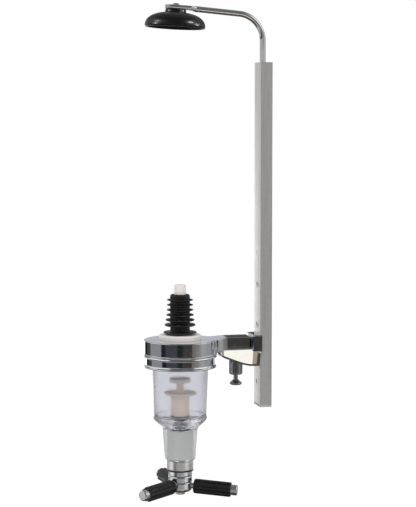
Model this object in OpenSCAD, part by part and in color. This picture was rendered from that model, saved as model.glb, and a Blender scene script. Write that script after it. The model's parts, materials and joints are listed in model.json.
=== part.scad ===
// Wall-mounted spirit measure: a bar with a sprung bottle arm, a cast bracket with a pull pin,
// and an inverted-bottle measure that pours one shot when its three levers are pushed up.
// The wall is the plane y = 0, the object stands out towards -Y, and +Z is up.

/* [Wall bar] */
// Width of the rectangular tube, across the wall
bar_w = 20; // [16:0.5:26]
// Depth of the tube, out from the wall
bar_d = 10.5; // [9.5:0.5:14]
// Length of the bar with its end cap
bar_l = 300; // [280:5:340]
// Wall of the tube
bar_wall = 1; // [0.8:0.1:1.2]
// Radius of the drilled holes
wall_hole_r = 2.25; // [2:0.25:3]
// Height of the lower wall screw hole above the bar's foot
wall_hole_low = 21.5; // [15:0.5:26]
// Distance between the two wall screw holes
wall_hole_gap = 86; // [80:1:92]
// Height of the spare hole above the shelf
spare_hole_rise = 20; // [17:1:26]
// Flange of the foot cap
cap_flange = 2; // [1:0.5:4]
// Depth of the foot cap's spigot in the tube
cap_spigot = 8; // [4:1:10]

/* [Sprung rod] */
// Radius of the bent rod
rod_r = 2.6; // [2.4:0.1:2.7]
// Distance of the rod's upright part from the wall
rod_out = 6.2; // [5.6:0.1:6.3]
// Height of the bend's start above the bar's top
rod_rise = 18.5; // [12:0.5:40]
// Radius of the bend, at the rod's centre
rod_bend = 23; // [14:1:30]
// Rise of the arm towards its tip, in degrees
rod_tilt = 5; // [0:1:8]
// Tilt of the flattened tip and the cup, in degrees
cup_tilt = 3; // [0:1:8]
// Distance of the cup's centre from the wall, along the arm's underside
cup_out = 83.2; // [76:0.5:92]
// Length of the rod's tip past the cup's centre
rod_tip = 9.5; // [7:0.5:14]
// Height of the carrier's foot above the bar's foot
carrier_z = 190; // [180:1:196]
// Height of the sliding carrier
carrier_h = 26; // [22:1:30]
// Length of the carrier's bearing on the rod
carrier_bearing = 16; // [10:1:17]
// Length of the guide bush in the bar's top
bush_h = 12; // [8:1:16]

/* [Bottle cup] */
// Radius of the cup's rim
cup_r = 25.9; // [22:0.1:30]
// Height of the domed shell
cup_h = 13.6; // [11:0.2:15]
// Wall of the shell
cup_wall = 2.2; // [1.6:0.2:3]
// Radius of the boss on the shell
cup_boss_r = 9; // [7:0.5:11]
// Height of the boss on the shell
cup_boss_h = 2.4; // [2:0.2:5]

/* [Bracket] */
// Height of the shelf above the bar's foot
shelf_z = 52; // [50:0.5:56]
// Width of the block that straddles the bar
block_w = 24; // [23:0.5:30]
// Depth of the block, out from the bar
block_d = 7; // [6:0.5:9]
// Height of the block above the shelf
block_rise = 12; // [11.6:0.2:16]
// Width of the block at its foot
block_foot_w = 21.2; // [20.8:0.2:24]
// Reach of the cheeks back along the bar's sides
cheek_wrap = 1.5; // [0.5:0.5:4]
// Width of the shelf at its top
shelf_w = 19; // [17:0.5:22]
// Width of the keel under the shelf
keel_w = 13.6; // [13.2:0.2:16]
// Gap between the shelf's nose and the clamp ring's wall
shelf_gap = 1.7; // [1.4:0.1:4]
// Depth of the shelf and keel at the bar
keel_h = 16.4; // [15:0.2:20]

/* [Lock pin] */
// Place of the pin along the shelf, as a share of its reach
pin_share = 0.537; // [0.5:0.01:0.6]
// Radius of the pin's tip
pin_r = 2.5; // [2:0.1:3]
// Radius of the pull stem
pin_stem_r = 2; // [1.6:0.1:2.4]
// Travel of the pin when it is pulled down
pin_travel = 5.5; // [5:0.5:6]
// Radius of the pin's housing
pin_case_r = 6; // [5.4:0.1:6.2]
// Length of the pin's housing
pin_case_h = 14.4; // [13:0.2:16]
// Radius of the pull knob
knob_r = 5.5; // [4.5:0.5:8]
// Thickness of the pull knob
knob_h = 4.4; // [3:0.2:6]
// Length of stem between the housing and the knob
knob_drop = 4.8; // [3:0.2:8]

/* [Clamp ring] */
// Distance of the measure's axis from the wall
optic_reach = 80; // [79.5:0.5:86]
// Radius of the clamp ring
ring_r = 31.5; // [30.5:0.1:32]
// Height of the ring's top above the shelf
ring_rise = 9; // [8:0.5:12]
// Height of the ring's plain wall
ring_wall_h = 11.5; // [10:0.5:14]
// Height of the bead under the plain wall
ring_bead_h = 3.6; // [2:0.2:5]
// Stand-out of the bead
ring_bead_out = 0.6; // [0.2:0.1:1.2]
// Thickness of the ring's top plate
ring_plate = 4; // [3:0.2:5]
// Width of the tongue
tongue_w = 16; // [13:0.5:16.5]
// Height of the tongue
tongue_h = 10.4; // [10:0.2:11.2]
// Radius of the fillets between the tongue and the ring
tongue_fillet = 18; // [10:1:20]
// Height of the threaded collar under the clamp ring
collar_h = 8.5; // [7.5:0.5:11]
// Stand-out of the collar's foot past its waist
collar_flare = 1.6; // [0.6:0.2:2]

/* [Measuring chamber] */
// Radius of the chamber under the collar
chamber_r = 24.4; // [22:0.2:25]
// Radius of the chamber above its foot bead
chamber_foot_r = 22.6; // [21:0.2:23.4]
// Wall of the chamber
chamber_wall = 2; // [1.4:0.1:2.6]
// Height from the collar's foot to the chamber's bead
chamber_h = 44.5; // [42:0.5:50]
// Height of the sloping shoulder under the bead
shoulder_h = 7.6; // [6:0.2:9]
// Radius of the neck sleeve at its top
neck_r = 15.2; // [14.4:0.2:17]
// Radius of the neck sleeve at its end
neck_end_r = 13.25; // [12.8:0.05:14.5]
// Length of the neck sleeve
neck_h = 28.6; // [24:0.2:34]

/* [Bottle stopper] */
// Radius of the rubber body
stopper_r = 8.65; // [7.6:0.1:9.6]
// Height of the rubber body
stopper_h = 35; // [32:1:44]
// Radius of the smallest rib
rib_r = 11.3; // [10.4:0.1:12.4]
// Radius of the foot flange
rib_foot_r = 14.6; // [13:0.2:17]
// Distance between ribs
rib_pitch = 4.35; // [3.4:0.05:4.6]
// Number of ribs over the foot flange
rib_count = 6; // [4:1:6]
// Radius of the white inlet stem
stem_r = 5.2; // [4.6:0.1:6]
// Bore of the inlet stem, as a radius
stem_bore_r = 3.5; // [3:0.1:3.8]
// Length of stem that stands out of the rubber
stem_tip = 8.2; // [4:0.2:14]
// Radius of the stem's disc
disc_r = 18.5; // [16:0.5:24]
// Thickness of the stem's disc
disc_h = 4.4; // [3:0.2:7]

/* [Pouring valve] */
// Reach of the inlet stem under the clamp ring's top plate
stem_reach = 22.7; // [21:0.1:24]
// Travel of the levers when a glass is pushed up
pour_travel = 7; // [5:0.5:8]
// Radius of the valve housing
case_r = 11.5; // [11.2:0.1:11.9]
// Length of the valve housing
case_h = 36.4; // [34:0.2:42]
// Wall of the valve housing
case_wall = 0.75; // [0.5:0.05:0.8]
// Length of hub that shows under the housing
hub_drop = 19.4; // [16:0.2:22]
// Radius of the spout
spout_r = 4.3; // [3.8:0.1:5.4]
// Length of the spout
spout_h = 2.6; // [1.6:0.2:6]
// Bore of the spout, as a radius
spout_bore_r = 3.2; // [2.4:0.1:3.2]
// Radius of the lever rods' necks, where they enter the hub
lever_neck_r = 2.5; // [2:0.1:3]
// Radius of the lever rods
lever_r = 4.6; // [3.6:0.1:4.7]
// Length of the levers, from the measure's axis
lever_l = 50.5; // [44:0.5:60]
// Turn of the levers about the measure's axis, in degrees
lever_turn = -53; // [-60:1:60]
// Radius of the rubber grips
grip_r = 6.4; // [5.8:0.1:6.6]
// Length of lever rod that stands out of the grip
grip_short = 5.6; // [3:0.2:8]
// Radius of the displacer in the chamber
displacer_r = 8; // [7.2:0.1:9]
// Radius of the displacer's plate
plate_r = 14; // [11:0.5:18]
// Radius of the inlet seal
seal_r = 9.1; // [8.6:0.1:10.5]

/* [Hidden] */
$fn = 72;

// Clearances, and the overrun of every cut
over = 1;
fit = 0.05;
slide_fit = 0.2;
seat_gap = 0.3;

// Bar
bar_corner = 0.4;
bar_in_w = bar_w - 2 * bar_wall;
bar_in_d = bar_d - 2 * bar_wall;
shelf_l = optic_reach - ring_r - bar_d - shelf_gap;
pin_out = bar_d + pin_share * shelf_l;
foot_to_origin = wall_hole_low + wall_hole_gap / 2;
anchor_h = 13;
anchor_rise = 82.5;
anchor_hole_z = shelf_z + anchor_rise;
anchor_recess = 0.3;

// Carrier, spring and retainer inside the bar
spigot_r = 1.6;
retainer_r = 2.4;
retainer_h = 1.2;
carrier_pocket_r = retainer_r + slide_fit;
carrier_top = carrier_z + carrier_h;
bearing_foot = carrier_top - carrier_bearing;
hook_r = 1.2;
hook_z = carrier_z + 2 * hook_r + fit;
arm_wire = 0.8;
arm_coil_r = 2;
arm_turns = 18;

// Rod: the bend turns it from upright to the arm's slope
bend_z = bar_l + rod_rise;
bend_turn = 90 - rod_tilt;
joint_step = 0.02;
tip_h = 3.4;
tip_w = 9;
tip_blend = 6;
tip_back = 12;
arm_start = rod_out + rod_bend * (1 - cos(bend_turn));
arm_start_z = bend_z + rod_bend * sin(bend_turn);
arm_len = (cup_out - arm_start) / cos(rod_tilt);

// Cup and its screw
cup_curve = 2.6;
cup_steps = 14;
cup_lip = 2;
cup_bolt_r = 1.75;
cup_head_r = 3;
cup_head_h = 1.7;
cup_nut_w = 5.5;
cup_nut_h = 2.4;
cup_washer_r = 4.5;
cup_washer_h = 0.8;
cup_bolt_end = 1;

// Bracket
shelf_corner = 5;
block_corner = 2;
block_taper_drop = 2;
pocket_back = 1.5;
tail_h = 9;
tail_front = bar_d + block_d;
keel_foot = shelf_z - keel_h;
keel_profile_shares = [
    [0, 1], [0.25, 0.97], [0.42, 0.88], [0.60, 0.73], [0.75, 0.60], [0.88, 0.49], [0.96, 0.38], [1, 0.25]
];
nose_top_share = 0.16;
nose_chamfer_share = 0.1;
bolt_r = 2;
bolt_head_r = 3.5;
bolt_head_h = 2.4;
bolt_l = 6;
bolt_low = 4.2;
bolt_gap = 7.6;
bolt_access_r = 3.9;

// Lock pin, its housing and spring
pin_clear = 0.5;
pin_bite = pin_travel - pin_clear;
pin_case_top = shelf_z - tail_h;
pin_case_foot = pin_case_top - pin_case_h;
pin_case_lip = 1.8;
pin_case_wall = 1.5;
pin_shoulder_r = pin_case_r - pin_case_wall - slide_fit;
pin_shoulder_h = 2.2;
pin_shoulder_top = pin_case_top - fit;
pin_tip_bevel = 0.8;
pin_wire = 0.7;
pin_turns = 3.5;
pin_coil_r = (pin_stem_r + pin_case_r - pin_case_wall) / 2;
knob_top = pin_case_foot - knob_drop;
knob_socket = 3;

// Clamp ring, in the measure's own frame: the tongue's underside is at z = 0
ring_chamfer = 0.8;
ring_foot = ring_rise - ring_wall_h;
bead_foot = ring_foot - ring_bead_h;
collar_gap = 0.4;
collar_top = bead_foot - collar_gap;
collar_foot = collar_top - collar_h;
collar_waist_r = ring_r - collar_flare;
collar_lip = 1.8;
collar_edge = 1.2;
thread_r = ring_r - 3.4;
flange_h = 2.2;
flange_r = thread_r - 0.4;
flange_foot = collar_foot + collar_lip;
gasket_h = 1.5;
skirt_foot = flange_foot + flange_h + gasket_h;
cavity_r = chamber_r;
plate_foot = ring_rise - ring_plate;

// Chamber
bead_r = chamber_foot_r + 0.7;
bead_z = collar_foot - chamber_h;
bead_h = 2;
floor_z = bead_z;
shoulder_foot = bead_z - bead_h / 2 - shoulder_h;
neck_bore_r = case_r + fit;
neck_rise = 0.8;
neck_top = shoulder_foot + neck_rise;
neck_foot = shoulder_foot - neck_h;
neck_bevel_share = 0.8;
neck_bevel = neck_bevel_share * (neck_end_r - neck_bore_r);
port_r = 6;
floor_round = 3;
round_steps = 6;

// Stopper and stem
stem_top = ring_rise + disc_h + stopper_h + stem_tip;
stem_neck_r = 8;
stem_neck_fit = 0.1;
stem_nut_r = 12.5;
stem_nut_h = 3.6;
disc_bevel = 1;
rib_top = 4.9;
rib_t = 0.9;
rib_root_t = 1.5;
rib_swell = 0.9;
rib_curve = 2.5;
flange_cup = 1.2;
flange_t = 1.1;

// Valve housing and hub
washer_r = 8.4;
washer_h = 1.3;
case_top = neck_top - washer_h;
case_foot = case_top - case_h;
case_cap = 4;
case_bore_r = case_r - case_wall;
case_round = 0.6;
hub_r = case_bore_r - seat_gap;
hub_wall = 2.2;
hub_bore_r = hub_r - hub_wall;
hub_overlap = 7.6;
hub_top = case_foot + hub_overlap;
hub_foot = case_foot - hub_drop;
hub_round = 3.2;
hub_groove_drops = [5.5, 10.9];
hub_groove_w = 0.9;
hub_groove_d = 0.35;
lever_drop = 5.8;
lever_z = hub_foot + lever_drop;
lever_root = 6;
lever_droops = [1.5, 4.2, 0.5];
funnel_h = 4.5;
funnel_foot = lever_z + lever_neck_r;
web_h = 4;
web_t = 2;
web_top = hub_top - web_h;
web_foot = web_top - web_h;
rod_boss_r = 4.2;
spindle_r = 2.5;
valve_wire = 1.1;
valve_turns = 6;
valve_coil_r = hub_r - hub_wall / 2;

// Displacer and seals
outlet_seal_h = 1.3;
outlet_seal_r = displacer_r + 0.5;
displacer_foot = floor_z + slide_fit + outlet_seal_h;
seal_h = 3.2;
seat_foot = plate_foot - stem_reach;
seat_mouth_r = 6;
seal_top = seat_foot - pour_travel - slide_fit;
displacer_top = seal_top - seal_h;
displacer_neck_r = 3.2;
displacer_neck_h = 8.8;
plate_h = 2;
bell_h = 3.4;
bell_r = displacer_r + 1.6;

// Grips
grip_gap = 0.55;
grip_in = case_r + grip_gap;
grip_out = lever_l - grip_short;
grip_bead = 0.35;
grip_round = 0.8;
lever_bevel = 0.8;

coil_rings = 8;
wire_sides = 6;
bend_rings = 3;

// Places of the frames that the pieces are drawn in
module bar_frame() {
    translate([0, 0, -foot_to_origin]) children();
}

module optic_frame() {
    bar_frame() translate([0, -optic_reach, shelf_z]) children();
}

module pin_frame() {
    bar_frame() translate([0, -pin_out, 0]) children();
}

// On the arm's underside at the cup's centre, with Z along the cup's axis
module cup_frame() {
    bar_frame() translate([0, -arm_start, arm_start_z]) rotate([-rod_tilt, 0, 0])
        translate([0, -arm_len, 0]) rotate([rod_tilt - cup_tilt, 0, 0])
            translate([0, 0, -tip_h / 2]) children();
}

// Flat rectangle with round corners, from true arcs
module soft_rectangle(w, d, r) {
    square([w - 2 * r, d], center = true);
    square([w, d - 2 * r], center = true);
    for (x = [-1, 1], y = [-1, 1]) translate([x * (w / 2 - r), y * (d / 2 - r)]) circle(r);
}

// Tube ring by its radii, standing on z
module collar_of(outer, inner, z, h) {
    translate([0, 0, z]) difference() {
        cylinder(r = outer, h = h);
        translate([0, 0, -over]) cylinder(r = inner, h = h + 2 * over);
    }
}

// A hole through the bar from front to back
module bar_hole(z, r) {
    translate([0, over, z]) rotate([90, 0, 0]) cylinder(r = r, h = bar_d + 2 * over);
}

// Hexagon across its flats
module hexagon(across) {
    circle(r = across / sqrt(3), $fn = 6);
}

// Points of an arc about a centre, in a revolve's half plane
function arc(c, r, from, to, steps) = [
    for (i = [0:steps]) let (a = from + (to - from) * i / steps) c + r * [cos(a), sin(a)]
];

// A coil's centre line, unrolled: upright end, quarter bend, slope, quarter bend, upright end
function coil_line(coil_r, wire, turns, h) =
    let (
        s = 2 * PI * coil_r * turns,
        b = wire,
        rings = ceil(turns * coil_rings),
        slope = atan((h - 4 * wire) / (s - 2 * b)),
        lead = [
            for (i = [0:bend_rings]) let (a = (90 - slope) * i / bend_rings)
                [b * (1 - cos(a)), wire + b * sin(a)]
        ],
        first = lead[bend_rings],
        last = [s - first[0], h - first[1]]
    )
    concat(
        [[0, 0]], lead,
        [for (i = [1:rings - 1]) first + (last - first) * i / rings],
        [for (i = [bend_rings:-1:0]) [s - lead[i][0], h - lead[i][1]]],
        [[s, h]]
    );

function on_coil(p, coil_r) =
    let (a = p[0] / coil_r * 180 / PI) [coil_r * cos(a), coil_r * sin(a), p[1]];

function unit(v) = v / norm(v);

// Rings of points round a coil's centre line
function coil_rings_of(line, coil_r, wire) = [
    for (i = [0:len(line) - 1])
        let (
            p = on_coil(line[i], coil_r),
            a = line[i][0] / coil_r * 180 / PI,
            out = [cos(a), sin(a), 0],
            round = [-sin(a), cos(a), 0],
            step = i == 0 || i == len(line) - 1
                ? [0, 1]
                : unit(line[i + 1] - line[i - 1]),
            ahead = step[0] * round + [0, 0, step[1]],
            side = cross(ahead, out)
        )
        for (k = [0:wire_sides - 1])
            p + wire / 2 * (cos(k * 360 / wire_sides) * out + sin(k * 360 / wire_sides) * side)
];

module coil(coil_r, wire, turns, h) {
    line = coil_line(coil_r, wire, turns, h);
    n = len(line);
    polyhedron(
        points = coil_rings_of(line, coil_r, wire),
        faces = concat(
            [for (i = [0:n - 2], k = [0:wire_sides - 1]) let (k2 = (k + 1) % wire_sides)
                [i * wire_sides + k, (i + 1) * wire_sides + k2, i * wire_sides + k2]],
            [for (i = [0:n - 2], k = [0:wire_sides - 1]) let (k2 = (k + 1) % wire_sides)
                [i * wire_sides + k, (i + 1) * wire_sides + k, (i + 1) * wire_sides + k2]],
            [for (k = [1:wire_sides - 2]) [0, k, k + 1]],
            [for (k = [1:wire_sides - 2]) let (e = (n - 1) * wire_sides) [e, e + k + 1, e + k]]
        )
    );
}

// Least free gap between turns of a coil, measured on its centre line's points
function least_gap(coil_r, wire, turns, h) =
    let (
        line = coil_line(coil_r, wire, turns, h),
        p = [for (q = line) on_coil(q, coil_r)],
        apart = coil_rings - 2
    )
    min([for (i = [0:len(p) - 1], j = [i + apart:1:len(p) - 1]) norm(p[i] - p[j])]) - wire;

// Wall bar

module wall_bar() {
    color("silver") bar_frame() difference() {
        translate([0, -bar_d / 2, cap_flange]) linear_extrude(bar_l - cap_flange) difference() {
            soft_rectangle(bar_w, bar_d, bar_corner);
            square([bar_in_w, bar_in_d], center = true);
        }
        for (z = [wall_hole_low, wall_hole_low + wall_hole_gap, shelf_z + spare_hole_rise, anchor_hole_z])
            bar_hole(z, wall_hole_r);
        for (i = [0, 1]) {
            z = keel_foot + bolt_low + i * bolt_gap;
            translate([0, over - bar_d / 2, z]) rotate([90, 0, 0])
                cylinder(r = bolt_r + fit, h = bar_d);
            translate([0, over, z]) rotate([90, 0, 0])
                cylinder(r = bolt_access_r, h = bar_wall + 2 * over);
        }
    }
}

module bar_end_cap() {
    color("dimgray") bar_frame() translate([0, -bar_d / 2, 0]) {
        linear_extrude(cap_flange) soft_rectangle(bar_w, bar_d, bar_corner);
        translate([0, 0, cap_flange]) linear_extrude(cap_spigot)
            square([bar_in_w - 2 * fit, bar_in_d - 2 * fit], center = true);
    }
}

module rod_bush() {
    color("black") bar_frame() difference() {
        translate([0, -bar_d / 2, bar_l - bush_h]) linear_extrude(bush_h)
            square([bar_in_w - 2 * fit, bar_in_d - 2 * fit], center = true);
        translate([0, -rod_out, bar_l - bush_h - over]) cylinder(r = rod_r + fit, h = bush_h + 2 * over);
    }
}

// A block pinned through the bar, with a sleeve round the spring that stops the carrier
module spring_anchor() {
    foot = anchor_hole_z - anchor_h / 2;
    color("ivory") bar_frame() difference() {
        union() {
            translate([0, -bar_d / 2, foot]) linear_extrude(carrier_z - seat_gap - foot)
                square([bar_in_w - 2 * fit, bar_in_d - 2 * fit], center = true);
            translate([0, -anchor_recess, anchor_hole_z]) rotate([90, 0, 0])
                cylinder(r = wall_hole_r - fit, h = bar_d - 2 * anchor_recess);
        }
        translate([0, -rod_out, foot + anchor_h])
            cylinder(r = arm_coil_r + arm_wire / 2 + seat_gap, h = carrier_z - foot - anchor_h + over);
    }
}

arm_spring_foot = anchor_hole_z + anchor_h / 2 + seat_gap;
arm_spring_h = hook_z - hook_r - seat_gap - arm_spring_foot;

module arm_spring() {
    color("gray") bar_frame() translate([0, -rod_out, arm_spring_foot])
        coil(arm_coil_r, arm_wire, arm_turns, arm_spring_h);
}

// Sprung rod

module rod_carrier() {
    color("ivory") bar_frame() difference() {
        translate([0, -bar_d / 2, carrier_z]) linear_extrude(carrier_h)
            square([bar_in_w - 2 * slide_fit, bar_in_d - 2 * slide_fit], center = true);
        translate([0, -rod_out, carrier_z]) {
            cylinder(r = spigot_r + fit, h = carrier_h + over);
            translate([0, 0, -over]) cylinder(r = carrier_pocket_r, h = carrier_h - carrier_bearing + over);
        }
        translate([-bar_w / 2, -rod_out, hook_z]) rotate([0, 90, 0]) cylinder(r = hook_r + fit, h = bar_w);
    }
}

module spring_hook_pin() {
    color("gray") bar_frame() translate([-bar_in_w / 2 + slide_fit, -rod_out, hook_z])
        rotate([0, 90, 0]) cylinder(r = hook_r, h = bar_in_w - 2 * slide_fit);
}

module support_rod() {
    spigot_foot = bearing_foot - slide_fit - retainer_h;
    color("gainsboro") bar_frame() {
        translate([0, -rod_out, spigot_foot]) cylinder(r = spigot_r, h = carrier_top - spigot_foot + fit);
        translate([0, -rod_out, carrier_top + fit]) cylinder(r = rod_r, h = bend_z - carrier_top - fit);
        translate([0, -rod_out - rod_bend, bend_z]) rotate([90, 0, 90]) {
            rotate_extrude(angle = bend_turn) translate([rod_bend, 0]) circle(rod_r);
            rotate(bend_turn) translate([rod_bend, -fit, 0]) rotate([-90, 0, 0])
                cylinder(r = rod_r - joint_step, h = arm_len - tip_back - tip_blend + fit);
        }
    }
    color("gainsboro") hull() {
        bar_frame() translate([0, -arm_start, arm_start_z]) rotate([-rod_tilt, 0, 0])
            translate([0, tip_blend + tip_back - arm_len + fit, 0])
                rotate([90, 0, 0]) cylinder(r = rod_r, h = 2 * fit, $fn = 32);
        cup_frame() translate([joint_step - tip_w / 2, tip_back - fit, joint_step])
            cube([tip_w - 2 * joint_step, 2 * fit, tip_h - 2 * joint_step]);
    }
    color("gainsboro") cup_frame() difference() {
        linear_extrude(tip_h) {
            translate([-tip_w / 2, tip_w / 2 - rod_tip]) square([tip_w, tip_back + rod_tip - tip_w / 2]);
            translate([0, tip_w / 2 - rod_tip]) circle(tip_w / 2);
        }
        translate([0, 0, -over]) cylinder(r = cup_bolt_r + fit, h = tip_h + 2 * over);
    }
}

module rod_retainer() {
    color("gray") bar_frame() translate([0, -rod_out, 0])
        collar_of(retainer_r, spigot_r + fit, bearing_foot - slide_fit - retainer_h, retainer_h);
}

// Bottle cup: a domed shell under the arm's tip, drawn downwards from its boss

// Half profile of the dome, from its middle out to its rim
function dome(r, h, top) = [
    for (i = [0:cup_steps]) let (a = 90 * i / cup_steps)
        [r * pow(sin(a), 2 / cup_curve), top - h * (1 - pow(cos(a), 2 / cup_curve))]
];

module bottle_cup() {
    color("black") cup_frame() difference() {
        union() {
            rotate_extrude() polygon(concat(
                dome(cup_r, cup_h - cup_lip, -cup_boss_h),
                [
                    [cup_r - cup_lip * 0.25, -cup_boss_h - cup_h + cup_lip / 2],
                    [cup_r - cup_lip * 0.6, -cup_boss_h - cup_h], [0, -cup_boss_h - cup_h]
                ]
            ));
            translate([0, 0, -cup_boss_h - cup_wall]) cylinder(r = cup_boss_r, h = cup_boss_h + cup_wall);
        }
        rotate_extrude() polygon(concat(
            dome(cup_r - cup_wall, cup_h - cup_wall, -cup_boss_h - cup_wall),
            [[cup_r - cup_wall, -cup_boss_h - cup_h - over], [0, -cup_boss_h - cup_h - over]]
        ));
        translate([0, 0, -cup_boss_h - cup_h]) {
            cylinder(r = cup_bolt_r + fit, h = cup_boss_h + cup_h + over);
            cylinder(r = cup_washer_r + fit, h = cup_h - cup_wall);
        }
    }
}

cup_washer_z = -cup_boss_h - cup_wall - cup_washer_h;

module cup_screw() {
    end = cup_washer_z - cup_nut_h - cup_bolt_end;
    color("silver") cup_frame() {
        rotate_extrude() polygon([
            [0, end], [cup_bolt_r, end], [cup_bolt_r, tip_h], [cup_head_r, tip_h],
            [cup_head_r, tip_h + cup_head_h / 2], [cup_head_r * 0.75, tip_h + cup_head_h * 0.85],
            [cup_head_r * 0.4, tip_h + cup_head_h], [0, tip_h + cup_head_h]
        ]);
    }
}

module cup_washer() {
    color("silver") cup_frame() collar_of(cup_washer_r, cup_bolt_r + fit, cup_washer_z, cup_washer_h);
}

module cup_nut() {
    color("silver") cup_frame() translate([0, 0, cup_washer_z - cup_nut_h]) difference() {
        linear_extrude(cup_nut_h) hexagon(cup_nut_w);
        translate([0, 0, -over]) cylinder(r = cup_bolt_r + fit, h = cup_nut_h + 2 * over);
    }
}

// Bracket: a block astride the bar, a shelf with a keel, and a pocket for the tongue's tail

module keel_side() {
    chamfer = nose_chamfer_share * shelf_l;
    polygon(concat(
        [[0, 0]],
        [for (s = keel_profile_shares) [s[0] * shelf_l, -s[1] * keel_h]],
        [[shelf_l, -nose_top_share * keel_h], [shelf_l - chamfer, 0]]
    ));
}

module shelf_plan() {
    long = shelf_l + bar_d;
    translate([-shelf_w / 2, shelf_corner - long]) square([shelf_w, long - shelf_corner - bar_d]);
    translate([shelf_corner - shelf_w / 2, -long]) square([shelf_w - 2 * shelf_corner, long - bar_d]);
    for (x = [-1, 1]) translate([x * (shelf_w / 2 - shelf_corner), shelf_corner - long]) circle(shelf_corner);
}

module block_plan() {
    difference() {
        union() {
            translate([-block_w / 2, block_corner - bar_d - block_d])
                square([block_w, block_d + cheek_wrap - block_corner]);
            translate([block_corner - block_w / 2, -bar_d - block_d])
                square([block_w - 2 * block_corner, block_d]);
            for (x = [-1, 1])
                translate([x * (block_w / 2 - block_corner), block_corner - bar_d - block_d])
                    circle(block_corner);
        }
        translate([-bar_w / 2 - fit, -bar_d - fit]) square([bar_w + 2 * fit, bar_d]);
    }
}

// The block seen from the front, from its foot at z = 0: tapered below the shelf
module block_face() {
    polygon([
        [-block_foot_w / 2, -over], [block_foot_w / 2, -over], [block_foot_w / 2, 0],
        [block_w / 2, keel_h - block_taper_drop], [block_w / 2, keel_h + block_rise + over],
        [-block_w / 2, keel_h + block_rise + over], [-block_w / 2, keel_h - block_taper_drop],
        [-block_foot_w / 2, 0]
    ]);
}

module bracket_solid() {
    lean = (shelf_w - keel_w) / 2;
    intersection() {
        translate([-shelf_w / 2, -bar_d, shelf_z]) rotate([90, 0, -90]) mirror([0, 0, 1])
            linear_extrude(shelf_w) keel_side();
        translate([0, -bar_d, shelf_z]) rotate([90, 0, 0]) linear_extrude(shelf_l + over) polygon([
            [-shelf_w / 2, 0], [shelf_w / 2, 0],
            [shelf_w / 2 - lean, -keel_h], [lean - shelf_w / 2, -keel_h]
        ]);
        translate([0, 0, keel_foot]) linear_extrude(keel_h) shelf_plan();
    }
    intersection() {
        translate([0, 0, keel_foot]) linear_extrude(keel_h + block_rise) block_plan();
        translate([0, cheek_wrap + over - bar_d, keel_foot]) rotate([90, 0, 0])
            linear_extrude(block_d + cheek_wrap + 2 * over) block_face();
    }
}

module bracket() {
    color("lightgray") bar_frame() difference() {
        bracket_solid();
        translate([-tongue_w / 2 - slide_fit, -tail_front - over, shelf_z])
            cube([tongue_w + 2 * slide_fit, block_d - pocket_back + over, tail_h + slide_fit]);
        translate([0, -pin_out, pin_case_foot]) {
            cylinder(r = pin_r + fit, h = shelf_z - pin_case_foot + over);
            cylinder(r = pin_case_r + fit, h = pin_case_h + fit);
        }
        for (i = [0, 1]) translate([0, over - bar_d, keel_foot + bolt_low + i * bolt_gap])
            rotate([90, 0, 0]) cylinder(r = bolt_r + fit, h = bolt_l + over);
    }
}

module bracket_screws() {
    color("dimgray") bar_frame() for (i = [0, 1])
        translate([0, bar_wall - bar_d, keel_foot + bolt_low + i * bolt_gap]) rotate([90, 0, 0]) {
            cylinder(r = bolt_r, h = bolt_l + bar_wall - fit);
            translate([0, 0, -bolt_head_h]) cylinder(r = bolt_head_r, h = bolt_head_h);
        }
}

// Lock pin

module pin_housing() {
    color("silver") pin_frame() translate([0, 0, pin_case_foot]) rotate_extrude() polygon([
        [pin_stem_r + fit, 0], [pin_case_r - pin_case_lip / 3, 0], [pin_case_r, pin_case_lip / 3],
        [pin_case_r, pin_case_h], [pin_case_r - pin_case_wall, pin_case_h],
        [pin_case_r - pin_case_wall, pin_case_lip], [pin_stem_r + fit, pin_case_lip]
    ]);
}

pin_spring_foot = pin_case_foot + pin_case_lip + slide_fit;
pin_spring_h = pin_shoulder_top - pin_shoulder_h - slide_fit - pin_spring_foot;

module pin_spring() {
    color("gray") pin_frame() translate([0, 0, pin_spring_foot])
        coil(pin_coil_r, pin_wire, pin_turns, pin_spring_h);
}

module lock_pin() {
    tip = shelf_z + pin_bite;
    color("silver") pin_frame() rotate_extrude() polygon([
        [0, knob_top - knob_socket], [pin_stem_r, knob_top - knob_socket],
        [pin_stem_r, pin_shoulder_top - pin_shoulder_h], [pin_shoulder_r, pin_shoulder_top - pin_shoulder_h],
        [pin_shoulder_r, pin_shoulder_top], [pin_r, pin_shoulder_top],
        [pin_r, tip - pin_tip_bevel], [pin_r - pin_tip_bevel, tip], [0, tip]
    ]);
}

module pin_knob() {
    rim = knob_h * 0.22;
    color("silver") pin_frame() translate([0, 0, knob_top - knob_h]) rotate_extrude() polygon([
        [0, 0], [knob_r - rim / 2, 0], [knob_r, rim / 2], [knob_r, rim], [knob_r - rim / 2, knob_h * 0.42],
        [(knob_r + pin_stem_r) / 2, knob_h * 0.66], [pin_stem_r + rim, knob_h * 0.86],
        [pin_stem_r + rim * 0.7, knob_h], [pin_stem_r + fit, knob_h],
        [pin_stem_r + fit, knob_h - knob_socket - fit], [0, knob_h - knob_socket - fit]
    ]);
}

// Clamp ring with its tongue

module tongue_plan(end) {
    half = tongue_w / 2;
    f = tongue_fillet;
    reach = sqrt(pow(ring_r + f, 2) - pow(half + f, 2));
    translate([-half, 0]) square([tongue_w, end]);
    for (x = [-1, 1]) difference() {
        polygon([
            [0, 0], x * ring_r / (ring_r + f) * [half + f, x * reach],
            [x * (half + f), reach], [x * half, reach], [0, reach]
        ]);
        translate([x * (half + f), reach]) circle(f);
    }
}

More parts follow.
